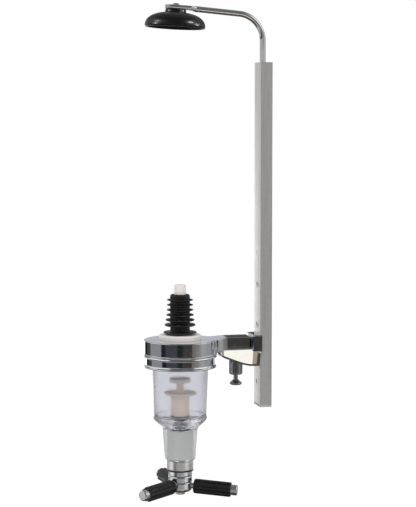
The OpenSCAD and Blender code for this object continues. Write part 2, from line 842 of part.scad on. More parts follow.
module clamp_ring() {
    tongue_end = optic_reach - tail_front - slide_fit;
    tail_end = optic_reach - bar_d - pocket_back - seat_gap;
    color("lightgray") optic_frame() difference() {
        union() {
            difference() {
                union() {
                    rotate_extrude() polygon([
                        [0, plate_foot - over], [0, ring_rise],
                        [ring_r - ring_chamfer, ring_rise], [ring_r, ring_rise - ring_chamfer],
                        [ring_r, ring_foot], [ring_r + ring_bead_out, ring_foot - ring_bead_out],
                        [ring_r + ring_bead_out, bead_foot + ring_bead_out], [ring_r, bead_foot],
                        [thread_r - fit, bead_foot], [thread_r - fit, skirt_foot], [0, skirt_foot]
                    ]);
                    linear_extrude(ring_rise) tongue_plan(ring_r + tongue_fillet / 2);
                }
                translate([0, 0, skirt_foot - over])
                    cylinder(r = cavity_r, h = plate_foot - skirt_foot + over);
            }
            translate([-tongue_w / 2, ring_r - ring_chamfer, 0])
                cube([tongue_w, tongue_end - ring_r + ring_chamfer, tongue_h]);
            translate([-tongue_w / 2, ring_r, 0]) cube([tongue_w, tail_end - ring_r, tail_h]);
        }
        translate([0, 0, plate_foot - over])
            cylinder(r = stem_neck_r + stem_neck_fit, h = ring_plate + 2 * over);
        translate([0, optic_reach - pin_out, -over])
            cylinder(r = pin_r + slide_fit, h = pin_bite + slide_fit + over);
    }
}

module threaded_collar() {
    color("lightgray") optic_frame() rotate_extrude() polygon([
        [thread_r + fit, collar_top], [collar_waist_r, collar_top],
        [collar_waist_r + collar_flare / 10, collar_foot + collar_h * 0.3],
        [collar_waist_r + collar_flare * 0.45, collar_foot + collar_edge * 1.4],
        [ring_r, collar_foot + collar_edge * 0.9], [ring_r, collar_foot + collar_edge / 4],
        [ring_r - collar_edge / 2, collar_foot], [chamber_r + slide_fit, collar_foot],
        [chamber_r + slide_fit, flange_foot - fit], [thread_r + fit, flange_foot - fit]
    ]);
}

module chamber_gasket() {
    color("black") optic_frame() collar_of(flange_r, chamber_r, skirt_foot - gasket_h, gasket_h);
}

// Measuring chamber with its neck sleeve

module measuring_chamber() {
    inner = chamber_r - chamber_wall;
    inner_foot = chamber_foot_r - chamber_wall;
    color("lightblue", 0.4) optic_frame() rotate_extrude() polygon(concat(
        [
            [inner, flange_foot + flange_h], [flange_r, flange_foot + flange_h], [flange_r, flange_foot],
            [chamber_r, flange_foot], [chamber_r, collar_foot],
            [chamber_foot_r, bead_z + bead_h], [bead_r, bead_z + bead_h / 2]
        ],
        arc([bead_r - bead_h / 2, bead_z - bead_h / 4], bead_h / 2, 0, -45, 3),
        [
            [neck_r, shoulder_foot], [neck_end_r, neck_foot + neck_bevel],
            [neck_end_r - neck_bevel, neck_foot], [neck_bore_r, neck_foot],
            [neck_bore_r, neck_top], [port_r, neck_top], [port_r, floor_z]
        ],
        arc([inner_foot - floor_round, floor_z + floor_round], floor_round, -90, 0, round_steps)
    ));
}

// Inlet stem and stopper

module inlet_stem() {
    color("white") optic_frame() rotate_extrude() polygon([
        [stem_bore_r, stem_top], [stem_r, stem_top], [stem_r, ring_rise + disc_h],
        [disc_r - disc_bevel, ring_rise + disc_h], [disc_r, ring_rise + disc_h - disc_bevel],
        [disc_r, ring_rise], [stem_neck_r, ring_rise], [stem_neck_r, seat_foot],
        [seat_mouth_r, seat_foot], [stem_bore_r, seat_foot + seat_mouth_r - stem_bore_r]
    ]);
}

module stem_nut() {
    color("dimgray") optic_frame() translate([0, 0, plate_foot - stem_nut_h]) difference() {
        linear_extrude(stem_nut_h) hexagon(2 * stem_nut_r * cos(30));
        translate([0, 0, -over]) cylinder(r = stem_neck_r + fit, h = stem_nut_h + 2 * over);
    }
}

module bottle_stopper() {
    foot = ring_rise + disc_h;
    top = foot + stopper_h;
    color("black") optic_frame() rotate_extrude() {
        translate([stem_r + fit, foot]) square([stopper_r - stem_r - fit, stopper_h]);
        for (i = [0:rib_count - 1]) {
            z = top - rib_top - i * rib_pitch;
            r = rib_r + (rib_foot_r - rib_r) * pow(i / rib_count, rib_curve);
            t = rib_t + rib_swell * pow(i / rib_count, rib_curve);
            polygon([
                [stopper_r - fit, z - rib_root_t / 2 - t / 4], [r - t / 2, z - t / 2], [r, z],
                [r - t / 2, z + t / 2], [stopper_r - fit, z + rib_root_t / 2]
            ]);
        }
        polygon([
            [stopper_r - fit, foot], [stopper_r + flange_t, foot],
            [rib_foot_r, foot + flange_cup], [rib_foot_r - flange_t / 2, foot + flange_cup + flange_t],
            [stopper_r - fit, foot + flange_t * 1.5]
        ]);
    }
}

// Pouring valve

module valve_housing() {
    color("silver") optic_frame() rotate_extrude() polygon(concat(
        [[port_r, case_top], [case_r, case_top]],
        arc([case_r - case_round, case_foot + case_round], case_round, 0, -90, 4),
        [[case_bore_r, case_foot], [case_bore_r, case_top - case_cap], [port_r, case_top - case_cap]]
    ));
}

module housing_washer() {
    color("black") optic_frame() collar_of(washer_r, port_r, case_top, washer_h);
}

valve_spring_foot = hub_top + slide_fit;
valve_spring_h = case_top - case_cap - slide_fit - valve_spring_foot;

module valve_spring() {
    color("gray") optic_frame() translate([0, 0, valve_spring_foot])
        coil(valve_coil_r, valve_wire, valve_turns, valve_spring_h);
}

// Corner points of a turned groove in the hub's wall, from its upper edge down
function groove(z) = [
    [hub_r, z + hub_groove_w / 2], [hub_r - hub_groove_d, z + hub_groove_w / 4],
    [hub_r - hub_groove_d, z - hub_groove_w / 4], [hub_r, z - hub_groove_w / 2]
];

module spout_hub() {
    color("silver") optic_frame() difference() {
        union() {
            rotate_extrude() polygon(concat(
                [[hub_bore_r, hub_top], [hub_r, hub_top]],
                groove(case_foot - hub_groove_drops[0]),
                groove(case_foot - hub_groove_drops[1]),
                arc([hub_r - hub_round, hub_foot + hub_round], hub_round, 0, -90, round_steps),
                [
                    [spout_r, hub_foot], [spout_r, hub_foot - spout_h], [spout_bore_r, hub_foot - spout_h],
                    [spout_bore_r, funnel_foot], [hub_bore_r, funnel_foot + funnel_h]
                ]
            ));
            translate([0, 0, web_foot]) linear_extrude(web_h) difference() {
                union() {
                    circle(rod_boss_r);
                    for (a = [0:120:240]) rotate(a + lever_turn) translate([0, -web_t / 2])
                        square([hub_bore_r + over, web_t]);
                }
                circle(spindle_r + fit);
            }
        }
        for (i = [1:3]) on_lever(i) translate([0, 0, lever_root])
            cylinder(r = lever_neck_r + fit, h = hub_r - lever_root + over);
    }
}

module spindle_rod() {
    color("gray") optic_frame() translate([0, 0, web_foot]) cylinder(r = spindle_r, h = seal_top - web_foot);
}

module displacer() {
    color("wheat") optic_frame() rotate_extrude() polygon([
        [spindle_r + fit, displacer_foot], [displacer_r, displacer_foot],
        [displacer_r, displacer_top - displacer_neck_h - plate_h - bell_h],
        [bell_r, displacer_top - displacer_neck_h - plate_h],
        [plate_r, displacer_top - displacer_neck_h - plate_h], [plate_r, displacer_top - displacer_neck_h],
        [displacer_neck_r, displacer_top - displacer_neck_h], [displacer_neck_r, displacer_top],
        [spindle_r + fit, displacer_top]
    ]);
}

module inlet_seal() {
    color("tan") optic_frame() collar_of(seal_r, spindle_r + fit, displacer_top, seal_h);
}

module outlet_seal() {
    color("black") optic_frame()
        collar_of(outlet_seal_r, spindle_r + fit, displacer_foot - outlet_seal_h, outlet_seal_h);
}

// The frame of one lever: Z runs out along it from the measure's axis
module on_lever(i) {
    rotate(lever_turn + 120 * (i - 1)) translate([0, 0, lever_z])
        rotate([0, 90 + lever_droops[i - 1], 0]) children();
}

module lever_rod(i) {
    color("whitesmoke") optic_frame() on_lever(i) rotate_extrude() polygon([
        [0, lever_root + fit], [lever_neck_r, lever_root + fit], [lever_neck_r, grip_in], [lever_r, grip_in],
        [lever_r, lever_l - lever_bevel], [lever_r - lever_bevel, lever_l], [0, lever_l]
    ]);
}

module lever_grip(i) {
    color("black") optic_frame() on_lever(i) rotate_extrude() polygon(concat(
        [[lever_r + fit, grip_in]],
        [[grip_r - grip_round, grip_in], [grip_r, grip_in + grip_round]],
        [[grip_r - grip_bead, grip_in + 3 * grip_round], [grip_r - grip_bead, grip_out - 3 * grip_round]],
        [[grip_r, grip_out - grip_round], [grip_r - grip_round, grip_out]],
        [[lever_r + fit, grip_out]]
    ));
}

echo(arm_spring_gap = least_gap(arm_coil_r, arm_wire, arm_turns, arm_spring_h));
echo(pin_spring_gap = least_gap(pin_coil_r, pin_wire, pin_turns, pin_spring_h));
echo(valve_spring_gap = least_gap(valve_coil_r, valve_wire, valve_turns, valve_spring_h));

wall_bar();
bar_end_cap();
rod_bush();
spring_anchor();
arm_spring();
rod_carrier();
spring_hook_pin();
support_rod();
rod_retainer();
bottle_cup();
cup_screw();
cup_washer();
cup_nut();
bracket();
bracket_screws();
pin_housing();
pin_spring();
lock_pin();
pin_knob();
clamp_ring();
threaded_collar();
measuring_chamber();
chamber_gasket();
inlet_stem();
stem_nut();
bottle_stopper();
valve_housing();
housing_washer();
valve_spring();
spout_hub();
spindle_rod();
displacer();
inlet_seal();
outlet_seal();
lever_rod(1);  // lever_rod_1
lever_rod(2);  // lever_rod_2
lever_rod(3);  // lever_rod_3
lever_grip(1);  // lever_grip_1
lever_grip(2);  // lever_grip_2
lever_grip(3);  // lever_grip_3
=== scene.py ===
"""Wall-mounted bar optic: a brushed bar with a sprung arm and bottle cup, a chromed clamp ring with a clear
measure under it, and a sprung spout with three rubber grips. Lengths in the shapes are in millimetres."""

import json
import math

import bmesh
import bpy
import numpy as np
from mathutils import Matrix, Vector


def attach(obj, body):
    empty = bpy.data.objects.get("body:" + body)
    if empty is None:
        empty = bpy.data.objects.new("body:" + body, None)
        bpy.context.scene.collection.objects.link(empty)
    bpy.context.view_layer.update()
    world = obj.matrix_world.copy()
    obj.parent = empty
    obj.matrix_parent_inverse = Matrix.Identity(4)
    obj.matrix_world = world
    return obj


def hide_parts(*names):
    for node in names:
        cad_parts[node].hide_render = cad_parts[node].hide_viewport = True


MM = 0.001
BAR_ORIGIN = 64.5
SHELF_Z = 52.0
OPTIC_AXIS = (0.0, -80.0)
PIN_AXIS = (0.0, -30.0)
BAR_FRONT_Y = -10.5

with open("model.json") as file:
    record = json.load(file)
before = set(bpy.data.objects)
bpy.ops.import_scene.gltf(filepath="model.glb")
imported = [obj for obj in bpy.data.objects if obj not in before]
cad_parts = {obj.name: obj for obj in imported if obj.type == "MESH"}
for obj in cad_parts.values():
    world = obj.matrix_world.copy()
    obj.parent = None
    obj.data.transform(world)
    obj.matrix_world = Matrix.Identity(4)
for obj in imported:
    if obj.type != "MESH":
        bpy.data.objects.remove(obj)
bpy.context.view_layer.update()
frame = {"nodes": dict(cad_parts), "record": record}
nodes = frame["nodes"]
scene = bpy.context.scene
scene.view_settings.view_transform = "Standard"


# Camera: turn about the bar, pitch, distance, aim over the bar's foot and sideways, focal length in pixels

CAMERA_AZIMUTH = math.radians(75.74)
CAMERA_PITCH = math.radians(4.81)
CAMERA_DISTANCE = 1433.72
CAMERA_AIM_Z = 133.94
CAMERA_ASIDE = -53.3
FOCAL_PIXELS = 1638.99
FRAME_PIXELS = 507
SENSOR_W = 36


def place_camera():
    """Puts the camera where the photograph was taken from."""
    back = Vector((
        math.sin(CAMERA_AZIMUTH) * math.cos(CAMERA_PITCH),
        -math.cos(CAMERA_AZIMUTH) * math.cos(CAMERA_PITCH),
        math.sin(CAMERA_PITCH),
    ))
    right = Vector((math.cos(CAMERA_AZIMUTH), math.sin(CAMERA_AZIMUTH), 0))
    up = back.cross(right)
    spot = Vector((0, 0, CAMERA_AIM_Z - BAR_ORIGIN)) + right * CAMERA_ASIDE + back * CAMERA_DISTANCE
    data = bpy.data.cameras.new("studio_camera")
    data.sensor_width = SENSOR_W
    data.sensor_fit = "AUTO"
    data.lens = FOCAL_PIXELS / FRAME_PIXELS * SENSOR_W
    data.clip_end = 50
    camera = bpy.data.objects.new("studio_camera", data)
    scene.collection.objects.link(camera)
    turn = Matrix((right, up, back)).transposed().to_4x4()
    camera.matrix_world = Matrix.Translation(spot * MM) @ turn
    scene.camera = camera


place_camera()


# Shader building

def shader_group(name, inputs, outputs):
    """Empty node group with float, colour or vector sockets by name."""
    kinds = {"f": "NodeSocketFloat", "c": "NodeSocketColor", "v": "NodeSocketVector"}
    group = bpy.data.node_groups.new(name, "ShaderNodeTree")
    for label, kind, value in inputs:
        socket = group.interface.new_socket(label, in_out="INPUT", socket_type=kinds[kind])
        if value is not None:
            socket.default_value = value
    for label, kind in outputs:
        group.interface.new_socket(label, in_out="OUTPUT", socket_type=kinds[kind])
    return group, group.nodes.new("NodeGroupInput"), group.nodes.new("NodeGroupOutput")


class Sheet:
    """Small helper that adds nodes to a tree and wires them by name."""

    def __init__(self, tree):
        self.tree = tree

    def node(self, kind, settings=None, **inputs):
        n = self.tree.nodes.new(kind)
        for key, value in (settings or {}).items():
            setattr(n, key, value)
        for key, value in inputs.items():
            numbered = key[0] == "i" and key[1:].isdigit()
            socket = n.inputs[int(key[1:]) if numbered else key.replace("_", " ")]
            if isinstance(value, bpy.types.NodeSocket):
                self.tree.links.new(value, socket)
            else:
                socket.default_value = value
        return n

    def math(self, operation, a, b=0.0, clamp=False):
        settings = {"operation": operation, "use_clamp": clamp}
        return self.node("ShaderNodeMath", settings, i0=a, i1=b).outputs[0]

    def noise(self, vector, scale, detail=3.0, roughness=0.55, distortion=0.0):
        return self.node(
            "ShaderNodeTexNoise", Vector=vector, Scale=scale, Detail=detail, Roughness=roughness,
            Distortion=distortion,
        ).outputs["Fac"]

    def stretch(self, vector, scale, turn=(0, 0, 0)):
        return self.node("ShaderNodeMapping", Vector=vector, Scale=scale, Rotation=turn).outputs["Vector"]

    def range(self, value, from_min, from_max, to_min, to_max):
        return self.node(
            "ShaderNodeMapRange", i0=value, i1=from_min, i2=from_max, i3=to_min, i4=to_max,
        ).outputs["Result"]

    def mix(self, factor, a, b, blend="MIX"):
        n = self.node("ShaderNodeMix", {"data_type": "RGBA", "blend_type": blend, "clamp_factor": True})
        for socket, value in ((n.inputs[0], factor), (n.inputs[6], a), (n.inputs[7], b)):
            if isinstance(value, bpy.types.NodeSocket):
                self.tree.links.new(value, socket)
            else:
                socket.default_value = value
        return n.outputs[2]

    def wire(self, a, b):
        self.tree.links.new(a, b)


def build_grain():
    """Fine lines along one axis: noise squeezed across the axis and drawn out along it."""
    group, given, out = shader_group(
        "Brushed grain",
        [("Vector", "v", None), ("Squeeze", "v", (1, 1, 0.02)), ("Scale", "f", 900.0), ("Depth", "f", 0.5)],
        [("Mask", "f"), ("Height", "f")],
    )
    s = Sheet(group)
    lines = s.stretch(given.outputs["Vector"], given.outputs["Squeeze"])
    fine = s.noise(lines, given.outputs["Scale"], 4.0, 0.6)
    broad = s.noise(lines, s.math("MULTIPLY", given.outputs["Scale"], 0.17), 2.0, 0.5)
    both = s.math("ADD", s.math("MULTIPLY", fine, 0.65), s.math("MULTIPLY", broad, 0.35))
    mask = s.range(both, 0.3, 0.7, 0.0, 1.0)
    s.wire(mask, out.inputs["Mask"])
    s.wire(s.math("MULTIPLY", mask, given.outputs["Depth"]), out.inputs["Height"])
    return group


SCRATCH_TURNS = (
    ((0.3, 0.2, 0.7), (1, 0.03, 1)),
    ((1.1, 0.5, -0.4), (1, 1, 0.04)),
    ((-0.6, 1.3, 0.2), (0.03, 1, 1)),
)


def build_handling():
    """Haze from fingers and cloths: soft clouds, with hair scratches scattered over them."""
    group, given, out = shader_group(
        "Handling haze",
        [
            ("Vector", "v", None), ("Cloud scale", "f", 60.0), ("Scratch scale", "f", 300.0),
            ("Amount", "f", 0.5),
        ],
        [("Haze", "f"), ("Scratches", "f")],
    )
    s = Sheet(group)
    clouds = s.noise(given.outputs["Vector"], given.outputs["Cloud scale"], 4.0, 0.6, 0.6)
    clouds = s.range(clouds, 0.38, 0.72, 0.0, 1.0)
    s.wire(s.math("MULTIPLY", clouds, given.outputs["Amount"]), out.inputs["Haze"])
    total = None
    for turn, squeeze in SCRATCH_TURNS:
        drawn = s.stretch(given.outputs["Vector"], squeeze, turn)
        hair = s.noise(drawn, given.outputs["Scratch scale"], 1.0, 0.4)
        thin = s.range(hair, 0.66, 0.70, 0.0, 1.0)
        total = thin if total is None else s.math("MAXIMUM", total, thin)
    s.wire(s.math("MULTIPLY", total, given.outputs["Amount"]), out.inputs["Scratches"])
    return group


def build_edge_wear_and_painted_shading():
    """Convex edges and hollows by pointiness, broken up by noise: the edges for rubbed wear and for painted
    highlights, the hollows for painted shade.
    """
    group, given, out = shader_group(
        "Edge wear and painted shading",
        [("Vector", "v", None), ("Reach", "f", 0.04), ("Break up", "f", 400.0)],
        [("Edge", "f"), ("Hollow", "f")],
    )
    s = Sheet(group)
    point = s.node("ShaderNodeNewGeometry").outputs["Pointiness"]
    broken = s.range(s.noise(given.outputs["Vector"], given.outputs["Break up"], 3.0), 0.3, 0.7, 0.5, 1.0)
    # Edge: convex spots, tinted for rubbed wear and, on the black rubber, as a painted highlight. Hollow:
    # concave spots, darkened as painted shade.
    high = s.range(point, 0.51, s.math("ADD", 0.51, given.outputs["Reach"]), 0.0, 1.0)
    low = s.range(point, 0.49, s.math("SUBTRACT", 0.49, given.outputs["Reach"]), 0.0, 1.0)
    s.wire(s.math("MULTIPLY", high, broken), out.inputs["Edge"])
    s.wire(s.math("MULTIPLY", low, broken), out.inputs["Hollow"])
    return group


def build_mould_skin():
    """Skin of a moulded piece: fine orange peel with faint broad unevenness."""
    group, given, out = shader_group(
        "Mould skin",
        [("Vector", "v", None), ("Scale", "f", 700.0), ("Depth", "f", 0.5)],
        [("Height", "f"), ("Tone", "f")],
    )
    s = Sheet(group)
    fine = s.noise(given.outputs["Vector"], given.outputs["Scale"], 2.0, 0.5)
    broad = s.noise(given.outputs["Vector"], s.math("MULTIPLY", given.outputs["Scale"], 0.08), 3.0, 0.5)
    s.wire(s.math("MULTIPLY", fine, given.outputs["Depth"]), out.inputs["Height"])
    s.wire(s.range(broad, 0.35, 0.65, 0.0, 1.0), out.inputs["Tone"])
    return group


GRAIN = build_grain()
HANDLING = build_handling()
EDGE_WEAR_AND_PAINTED_SHADING = build_edge_wear_and_painted_shading()
MOULD_SKIN = build_mould_skin()


def shade(rgb, factor=1.0):
    return (rgb[0] * factor, rgb[1] * factor, rgb[2] * factor, 1.0)


class Finish:
    """One material: its Principled shader, object coordinates, and the shared groups placed in it."""

    def __init__(self, name, rgb, roughness, **plain):
        self.material = bpy.data.materials.new(name)
        self.material.use_nodes = True
        self.material.diffuse_color = shade(rgb)
        tree = self.material.node_tree
        self.s = Sheet(tree)
        self.shader = tree.nodes["Principled BSDF"]
        self.place = self.s.node("ShaderNodeTexCoord").outputs["Object"]
        self.rgb = shade(rgb)
        self.shader.inputs["Base Color"].default_value = self.rgb
        self.shader.inputs["Roughness"].default_value = roughness
        for key, value in plain.items():
            self.shader.inputs[key.replace("_", " ")].default_value = value

    def group(self, tree, **inputs):
        n = self.s.node("ShaderNodeGroup", {"node_tree": tree}, Vector=self.place)
        for key, value in inputs.items():
            n.inputs[key.replace("_", " ")].default_value = value
        return n.outputs

    def bump(self, height, distance, strength):
        n = self.s.node("ShaderNodeBump", Height=height, Distance=distance, Strength=strength)
        self.s.wire(n.outputs["Normal"], self.shader.inputs["Normal"])

    def colour(self, socket):
        self.s.wire(socket, self.shader.inputs["Base Color"])

    def roughness(self, socket):
        self.s.wire(socket, self.shader.inputs["Roughness"])


def polished(name, rgb, roughness=0.05, haze=0.5, hollow=0.55):
    """Bright plate over a worked surface: hair scratches, hazy patches, painted shade in the hollows and
    clean edges.
    """
    f = Finish(name, rgb, roughness, Metallic=1.0)
    s = f.s
    worn = f.group(HANDLING, Cloud_scale=70.0, Scratch_scale=420.0, Amount=haze)
    edge = f.group(EDGE_WEAR_AND_PAINTED_SHADING, Reach=0.05)
    wave = f.group(MOULD_SKIN, Scale=110.0, Depth=1.0)
    tone = s.mix(s.math("MULTIPLY", worn["Haze"], 0.35), f.rgb, shade(rgb, 0.86))
    # Painted shade: concave hollows darkened towards a dark grey.
    tone = s.mix(s.math("MULTIPLY", edge["Hollow"], hollow), tone, shade((0.32, 0.31, 0.3)))
    tone = s.mix(s.math("MULTIPLY", edge["Edge"], 0.5), tone, shade((0.95, 0.95, 0.95)))
    f.colour(tone)
    rough = s.math("ADD", s.math("MULTIPLY", worn["Haze"], 0.10), roughness)
    f.roughness(s.math("ADD", rough, s.math("MULTIPLY", worn["Scratches"], 0.12)))
    f.bump(s.math("ADD", wave["Height"], s.math("MULTIPLY", worn["Scratches"], -0.3)), 0.00003, 0.5)
    return f.material


def brushed(name, rgb, roughness, squeeze, scale=900.0, depth=0.00002, contrast=0.2, haze=0.4,
            edge_tone=(0.9, 0.9, 0.9), metallic=1.0):
    """Satin metal: grain along one axis tints the colour, spreads the gloss and lifts the surface."""
    f = Finish(name, rgb, roughness, Metallic=metallic)
    s = f.s
    lines = f.group(GRAIN, Squeeze=squeeze, Scale=scale, Depth=1.0)
    worn = f.group(HANDLING, Cloud_scale=40.0, Scratch_scale=260.0, Amount=haze)
    edge = f.group(EDGE_WEAR_AND_PAINTED_SHADING, Reach=0.05)
    tone = s.mix(lines["Mask"], shade(rgb, 1 - contrast), shade(rgb, 1 + contrast * 0.6))
    tone = s.mix(s.math("MULTIPLY", worn["Haze"], 0.4), tone, shade(rgb, 0.85))
    tone = s.mix(s.math("MULTIPLY", edge["Edge"], 0.6), tone, shade(edge_tone))
    f.colour(tone)
    rough = s.range(lines["Mask"], 0.0, 1.0, roughness - 0.06, roughness + 0.08)
    rough = s.math("ADD", rough, s.math("MULTIPLY", worn["Haze"], 0.12))
    f.roughness(rough)
    f.bump(s.math("SUBTRACT", lines["Height"], worn["Scratches"]), depth, 0.7)
    return f.material


def moulded(name, rgb, roughness, deeper=0.8, scale=700.0, depth=0.00003, haze=0.4, edge_tint=None, **plain):
    """Moulded plastic or rubber: peel on the surface, uneven tone, painted shade in the hollows, lighter
    edges (rubbed wear, and a painted highlight on the black rubber), and haze in the gloss.
    """
    f = Finish(name, rgb, roughness, **plain)
    s = f.s
    skin = f.group(MOULD_SKIN, Scale=scale, Depth=1.0)
    worn = f.group(HANDLING, Cloud_scale=55.0, Scratch_scale=300.0, Amount=haze)
    edge = f.group(EDGE_WEAR_AND_PAINTED_SHADING, Reach=0.06)
    tone = s.mix(skin["Tone"], shade(rgb, deeper), shade(rgb, 2 - deeper))
    # Painted shade: concave hollows darkened.
    tone = s.mix(s.math("MULTIPLY", edge["Hollow"], 0.6), tone, shade(rgb, deeper * 0.7))
    # Convex edges take the edge tint: rubbed wear, and on the black rubber a painted highlight.
    tint = edge_tint or tuple(min(1.0, c * 1.25 + 0.01) for c in rgb)
    tone = s.mix(s.math("MULTIPLY", edge["Edge"], 0.6), tone, shade(tint))
    f.colour(tone)
    rough = s.math("ADD", s.math("MULTIPLY", worn["Haze"], 0.15), roughness)
    f.roughness(s.math("ADD", rough, s.math("MULTIPLY", worn["Scratches"], 0.15)))
    f.bump(s.math("SUBTRACT", skin["Height"], s.math("MULTIPLY", worn["Scratches"], 0.5)), depth, 0.6)
    return f.material


def clear_moulding(name, rgb):
    """Clear styrene: glass-like, with a faint tint, flow unevenness in the bump and a light handling haze.
    The measuring part is hazy and lavender, with a thin painted dark line at its foot that stands for the
    dark edge of its bead; the neck is clear, grey."""
    f = Finish(name, rgb, 0.1, Metallic=0.0, Transmission_Weight=1.0, IOR=1.5)
    s = f.s
    worn = f.group(HANDLING, Cloud_scale=45.0, Scratch_scale=240.0, Amount=0.5)
    flow = s.noise(s.stretch(f.place, (1, 1, 0.25)), 60.0, 2.0, 0.4)
    place = s.node("ShaderNodeSeparateXYZ", Vector=f.place).outputs
    is_neck = s.range(place["Z"], -0.0795, -0.0815, 0.0, 1.0)
    tint = s.mix(worn["Haze"], f.rgb, shade(rgb, 0.97))
    # Painted shade: a thin dark band at the bead's foot, for the dark edge the clear bead shows.
    from_foot = s.math("ABSOLUTE", s.math("ADD", place["Z"], 0.0738))
    painted_foot_line = s.math("SUBTRACT", 1.0, s.math("MULTIPLY", from_foot, 2500.0))
    tint = s.mix(s.math("MAXIMUM", painted_foot_line, 0.0), tint, (0.36, 0.34, 0.44, 1.0))
    f.colour(s.mix(is_neck, tint, (0.80, 0.81, 0.815, 1.0)))
    hazy = s.range(place["Z"], -0.078, -0.073, 0.10, 0.17)
    hazy = s.math("SUBTRACT", hazy, s.math("MULTIPLY", is_neck, 0.08))
    hazy = s.math("ADD", s.math("MULTIPLY", worn["Haze"], 0.05), hazy)
    f.roughness(hazy)
    f.bump(s.math("SUBTRACT", flow, s.math("MULTIPLY", worn["Scratches"], 0.2)), 0.00003, 0.5)
    return f.material


FINISHES = {
    "bar_aluminium": brushed(
        "Bar brushed aluminium", (0.90, 0.895, 0.885), 0.32, (1, 1, 0.015), 1400.0,
        edge_tone=(0.30, 0.29, 0.27), metallic=0.82,
    ),
    "cap_plastic": moulded("Cap grey plastic", (0.42, 0.42, 0.41), 0.45),
    "dark_plastic": moulded("Dark satin plastic", (0.03, 0.03, 0.032), 0.42),
    "inner_plastic": moulded(
        "Natural acetal", (0.80, 0.78, 0.70), 0.4, 0.93, Subsurface_Weight=0.15, Subsurface_Scale=0.002,
    ),
    "spring_steel": brushed("Drawn spring wire", (0.55, 0.55, 0.56), 0.25, (1, 1, 0.3), 900.0),
    "plain_steel": brushed("Zinc plated steel", (0.62, 0.62, 0.63), 0.28, (1, 1, 1), 300.0),
    "rod_chrome": polished("Rod polished chrome", (0.84, 0.84, 0.85), 0.05),
    "cup_plastic": moulded(
        "Cup gloss black", (0.005, 0.0045, 0.0045), 0.26, 0.8, 260.0, 0.000002, 0.2, (0.008, 0.008, 0.008),
        Specular_IOR_Level=0.3,
    ),
    "pin_steel": polished("Pin dark plate", (0.42, 0.42, 0.43), 0.14),
    "cast_chrome": polished("Casting bright chrome", (0.84, 0.85, 0.87), 0.045),
    "clear_plastic": clear_moulding("Measure clear plastic", (0.805, 0.805, 0.85)),
    # Its grey edge tint is a painted highlight along the stopper's ribs and the grips' flutes.
    "black_rubber": moulded(
        "Ribbed black rubber", (0.004, 0.0045, 0.0055), 0.34, 0.75, 1200.0, 0.00005, 0.5, (0.16, 0.16, 0.165),
        Specular_IOR_Level=0.5,
    ),
    "white_plastic": moulded(
        "Inlet warm white nylon", (0.87, 0.83, 0.80), 0.32, 0.97, edge_tint=(0.90, 0.87, 0.84),
    ),
    "satin_metal": brushed(
        "Housing satin metal", (0.82, 0.81, 0.80), 0.11, (0.1, 0.1, 6.0), 300.0, 0.000002, 0.03, 0.2,
        metallic=0.85,
    ),
    "hub_chrome": polished("Hub polished chrome", (0.80, 0.81, 0.83), 0.06),
    "cream_plastic": moulded(
        "Displacer cream plastic", (0.96, 0.85, 0.68), 0.4, 0.98, edge_tint=(0.97, 0.90, 0.78),
    ),
    "seal_rubber": moulded("Seal natural rubber", (0.93, 0.80, 0.70), 0.5, 0.97),
    "lever_metal": brushed("Lever turned metal", (0.80, 0.80, 0.81), 0.2, (1, 1, 1), 200.0, 0.00001, 0.1),
}
SLOT_OF = {s["node"]: s["material_slot"] for s in frame["record"]["subparts"]}


# Surfaces

def rounded(points, radius=0.4, steps=3, closed=True, whole=False):
    """Profile with its corners cut by small arcs: each corner gives a quadratic curve between two points that
    lie the radius (or 45 % of the shorter side) away along its sides. Whole profiles keep doubled points."""
    p = np.asarray([q[:2] for q in points], float)
    r = np.array([q[2] if len(q) > 2 else radius for q in points], float)
    before = np.roll(p, 1, axis=0)
    after = np.roll(p, -1, axis=0)
    to_before = before - p
    to_after = after - p
    length_before = np.linalg.norm(to_before, axis=1)
    length_after = np.linalg.norm(to_after, axis=1)
    cut = np.minimum(r, 0.45 * np.minimum(length_before, length_after))
    if not closed:
        cut[0] = 0
        cut[-1] = 0
    start = p + to_before / np.maximum(length_before, 1e-9)[:, None] * cut[:, None]
    end = p + to_after / np.maximum(length_after, 1e-9)[:, None] * cut[:, None]
    t = np.linspace(0, 1, steps + 1)[None, :, None]
    curve = (1 - t) ** 2 * start[:, None] + 2 * t * (1 - t) * p[:, None] + t ** 2 * end[:, None]
    flat = curve.reshape(-1, 2)
    if whole:
        return flat
    keep = np.ones(len(flat), bool)
    keep[1:] = np.linalg.norm(np.diff(flat, axis=0), axis=1) > 1e-5
    return flat[keep]


def close_up(mesh):
    """Merges doubles and turns all faces outwards."""
    bm = bmesh.new()
    bm.from_mesh(mesh)
    bmesh.ops.remove_doubles(bm, verts=bm.verts, dist=2e-6)
    bmesh.ops.dissolve_degenerate(bm, edges=bm.edges, dist=1e-6)
    bmesh.ops.recalc_face_normals(bm, faces=bm.faces)
    bm.to_mesh(mesh)
    bm.free()


def crease(mesh, sharp):
    """Smooth faces, with a crease where two faces turn by more than the sharp angle in degrees."""
    mesh.polygons.foreach_set("use_smooth", np.ones(len(mesh.polygons), bool))
    mesh.set_sharp_from_angle(angle=math.radians(sharp))


def make_mesh(name, verts, faces, body, slot, replaced=(), sharp=32):
    """Mesh object in metres with doubles merged, normals outwards, smooth faces and sharp creases."""
    mesh = bpy.data.meshes.new(name)
    mesh.from_pydata(np.asarray(verts, float) * MM, [], faces)
    close_up(mesh)
    crease(mesh, sharp)
    mesh.materials.append(FINISHES[slot])
    piece = bpy.data.objects.new(name, mesh)
    scene.collection.objects.link(piece)
    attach(piece, body)
    if replaced:
        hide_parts(*replaced)
    weigh_normals(piece)
    return piece


def weigh_normals(piece):
    """Shades by the larger faces, so that flat walls stay flat up to their rounded edges."""
    weigh = piece.modifiers.new("Weighed normals", "WEIGHTED_NORMAL")
    weigh.keep_sharp = True


